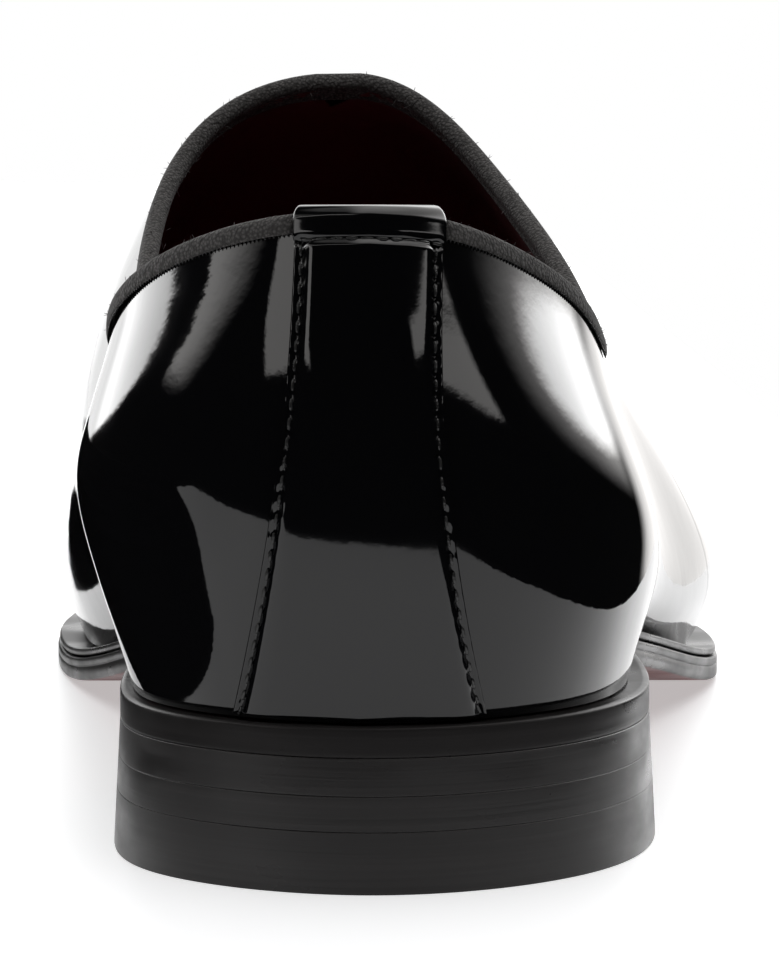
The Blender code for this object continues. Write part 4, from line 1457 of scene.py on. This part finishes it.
def world_nodes(world, settings):
    """A dark room for reflections, with white walls ahead on both sides and a plain end between them.

    The camera sees plain white. Softer lamps stand beside and behind the shoe, a faint one overhead.
    """
    world.use_nodes = True
    world.cycles_visibility.diffuse = False
    tree = world.node_tree
    tree.nodes.clear()
    direction = tree.nodes.new("ShaderNodeTexCoord").outputs["Generated"]
    split = tree.nodes.new("ShaderNodeSeparateXYZ")
    tree.links.new(direction, split.inputs["Vector"])
    x, y, z = (split.outputs[name] for name in "XYZ")

    def chain(operation, first, *others):
        for other in others:
            first = math_node(tree, operation, first, other)
        return first

    def product(*factors):
        return chain("MULTIPLY", *factors)

    def total(*parts):
        return chain("ADD", *parts)

    def ramp(value, low, high, out_low=0.0, out_high=1.0):
        return span(tree, value, low, high, out_low, out_high)

    def band(value, low, high, soft):
        return product(ramp(value, low, low + soft), ramp(value, high - soft, high, 1.0, 0.0))

    left, right = ramp(x, -0.1, 0.1, 1.0, 0.0), ramp(x, -0.1, 0.1)
    lean, steep = plus_share(tree, y, z, 2.0), plus_share(tree, y, z, -1.4)
    wall_left = product(left, ramp(lean, 0.85, 0.875))
    wall_right = product(right, ramp(lean, 1.0, 1.1))
    walls = product(total(wall_left, wall_right), ramp(z, 0.35, 0.75, 1.0, 0.0))
    end = product(ramp(y, 0.86, 0.94, 0.0, 1.6), band(z, -0.2, 0.6, 0.06))
    ahead = total(product(walls, ramp(y, 0.78, 0.96, settings.walls, 0.0)), end)
    glow = product(right, ramp(lean, 0.84, 1.1, 0.0, 0.75), ramp(y, 0.8, 0.93, 1.0, 0.0))
    lamp = product(left, ramp(lean, 0.5, 0.71, 0.0, 1.25), ramp(lean, 0.715, 0.73, 1.0, 0.0))
    lamp = product(lamp, band(z, 0.21, 0.8, 0.04))
    pane_left = product(left, band(steep, -1.16, -0.85, 0.03), band(z, 0.245, 0.48, 0.02))
    pane_right = product(right, band(y, -0.75, -0.1, 0.06), band(z, 0.3, 0.38, 0.02))
    lamps = product(total(glow, lamp, pane_left, pane_right), settings.lamp)
    overhead = ramp(z, 0.86, 0.95, 0.004, 0.55)
    studio = tree.nodes.new("ShaderNodeBackground")
    tree.links.new(colour_mix(tree, walls, CREAM, WHITE), studio.inputs["Color"])
    tree.links.new(total(ahead, lamps, overhead), studio.inputs["Strength"])
    seen = tree.nodes.new("ShaderNodeBackground")
    seen.inputs["Color"].default_value = (*WHITE, 1.0)
    mix = tree.nodes.new("ShaderNodeMixShader")
    path = tree.nodes.new("ShaderNodeLightPath")
    tree.links.new(path.outputs["Is Camera Ray"], mix.inputs["Fac"])
    tree.links.new(studio.outputs["Background"], mix.inputs[1])
    tree.links.new(seen.outputs["Background"], mix.inputs[2])
    tree.links.new(mix.outputs["Shader"], tree.nodes.new("ShaderNodeOutputWorld").inputs["Surface"])


def fit_box(piece, low, high, *steps):
    """Brings a primitive of size 1 to a box by its corners, then runs further edit steps."""
    low, high = Vector(low), Vector(high)
    edit(
        piece,
        lambda: bpy.ops.transform.resize(value=high - low),
        lambda: bpy.ops.transform.translate(value=0.5 * (low + high)),
        *steps,
    )


def flag():
    """A rounded black block beside the shoe that shows only in its reflections."""
    block = new_piece("left_flag", bpy.ops.mesh.primitive_cube_add, size=1.0)
    fit_box(block, FLAG_LOW, FLAG_HIGH, lambda: bpy.ops.mesh.bevel(offset=FLAG_ROUNDING, segments=8))
    cloth = Finish("left_flag", FLAG_COLOUR, 1.0)
    cloth.set(specular_ior_level=0.0)
    block.data.materials.append(cloth.material)
    block.visible_camera = False
    block.visible_diffuse = False
    block.visible_shadow = False


def fill_light(power):
    """A large square light over the floor that shows neither to the camera nor in reflections."""
    data = bpy.data.lights.new("floor_fill", "AREA")
    data.size = FILL_SIZE
    data.energy = power
    lamp = bpy.data.objects.new("floor_fill", data)
    bpy.context.scene.collection.objects.link(lamp)
    lamp.location = FILL_AT
    lamp.visible_camera = False
    lamp.visible_glossy = False


class LOAFER_OT_stage(bpy.types.Operator):
    """Camera, floor and light"""

    bl_idname = "loafer.stage"
    bl_label = "Studio"

    def execute(self, context):
        scene = context.scene
        settings = scene.loafer_studio
        camera = bpy.data.objects.new("camera", bpy.data.cameras.new("camera"))
        scene.collection.objects.link(camera)
        camera.data.lens = settings.lens
        camera.data.clip_start = 0.01
        camera.location = settings.eye
        camera.rotation_euler = Vector(settings.aim).to_track_quat("-Z", "Y").to_euler()
        scene.camera = camera
        floor = new_piece("floor", bpy.ops.mesh.primitive_plane_add, size=1.0)
        fit_box(floor, (*settings.floor_low, 0.0), (*settings.floor_high, 0.0))
        paper = Finish("floor_board", FLOOR_COLOUR, 0.4)
        paper.set(emission_color=(*WHITE, 1.0), emission_strength=settings.floor_glow)
        floor.data.materials.append(paper.material)
        scene.world = bpy.data.worlds.new("studio")
        world_nodes(scene.world, settings)
        fill_light(settings.floor_light)
        flag()
        scene.view_settings.view_transform = "Standard"
        return {"FINISHED"}


class LOAFER_PT_panel(bpy.types.Panel):
    """Builds the loafer piece by piece"""

    bl_idname = "LOAFER_PT_panel"
    bl_label = "Patent loafer"
    bl_space_type = "VIEW_3D"
    bl_region_type = "UI"
    bl_category = "Loafer"

    def draw(self, context):
        scene = context.scene
        for settings in (scene.loafer_sizes, scene.loafer_colours, scene.loafer_studio):
            column = self.layout.column()
            for name in settings.__annotations__:
                column.prop(settings, name)
        for operator in OPERATORS:
            self.layout.operator(operator.bl_idname)


OPERATORS = (
    LOAFER_OT_stage,
    LOAFER_OT_upper,
    LOAFER_OT_lining,
    LOAFER_OT_tape,
    LOAFER_OT_strap,
    LOAFER_OT_insole,
    LOAFER_OT_sole,
    LOAFER_OT_heel,
    LOAFER_OT_stitches,
)
CLASSES = (LoaferSizes, LoaferColours, StudioSettings, *OPERATORS, LOAFER_PT_panel)


def register():
    for each in CLASSES:
        bpy.utils.register_class(each)
    bpy.types.Scene.loafer_sizes = PointerProperty(type=LoaferSizes)
    bpy.types.Scene.loafer_colours = PointerProperty(type=LoaferColours)
    bpy.types.Scene.loafer_studio = PointerProperty(type=StudioSettings)


def unregister():
    del bpy.types.Scene.loafer_sizes
    del bpy.types.Scene.loafer_colours
    del bpy.types.Scene.loafer_studio
    for each in reversed(CLASSES):
        bpy.utils.unregister_class(each)


def main():
    register()
    bpy.ops.loafer.stage()
    bpy.ops.loafer.upper()
    bpy.ops.loafer.lining()
    bpy.ops.loafer.tape()
    bpy.ops.loafer.strap()
    bpy.ops.loafer.insole()
    bpy.ops.loafer.sole()
    bpy.ops.loafer.heel()
    bpy.ops.loafer.stitches()


if __name__ == "__main__":
    main()
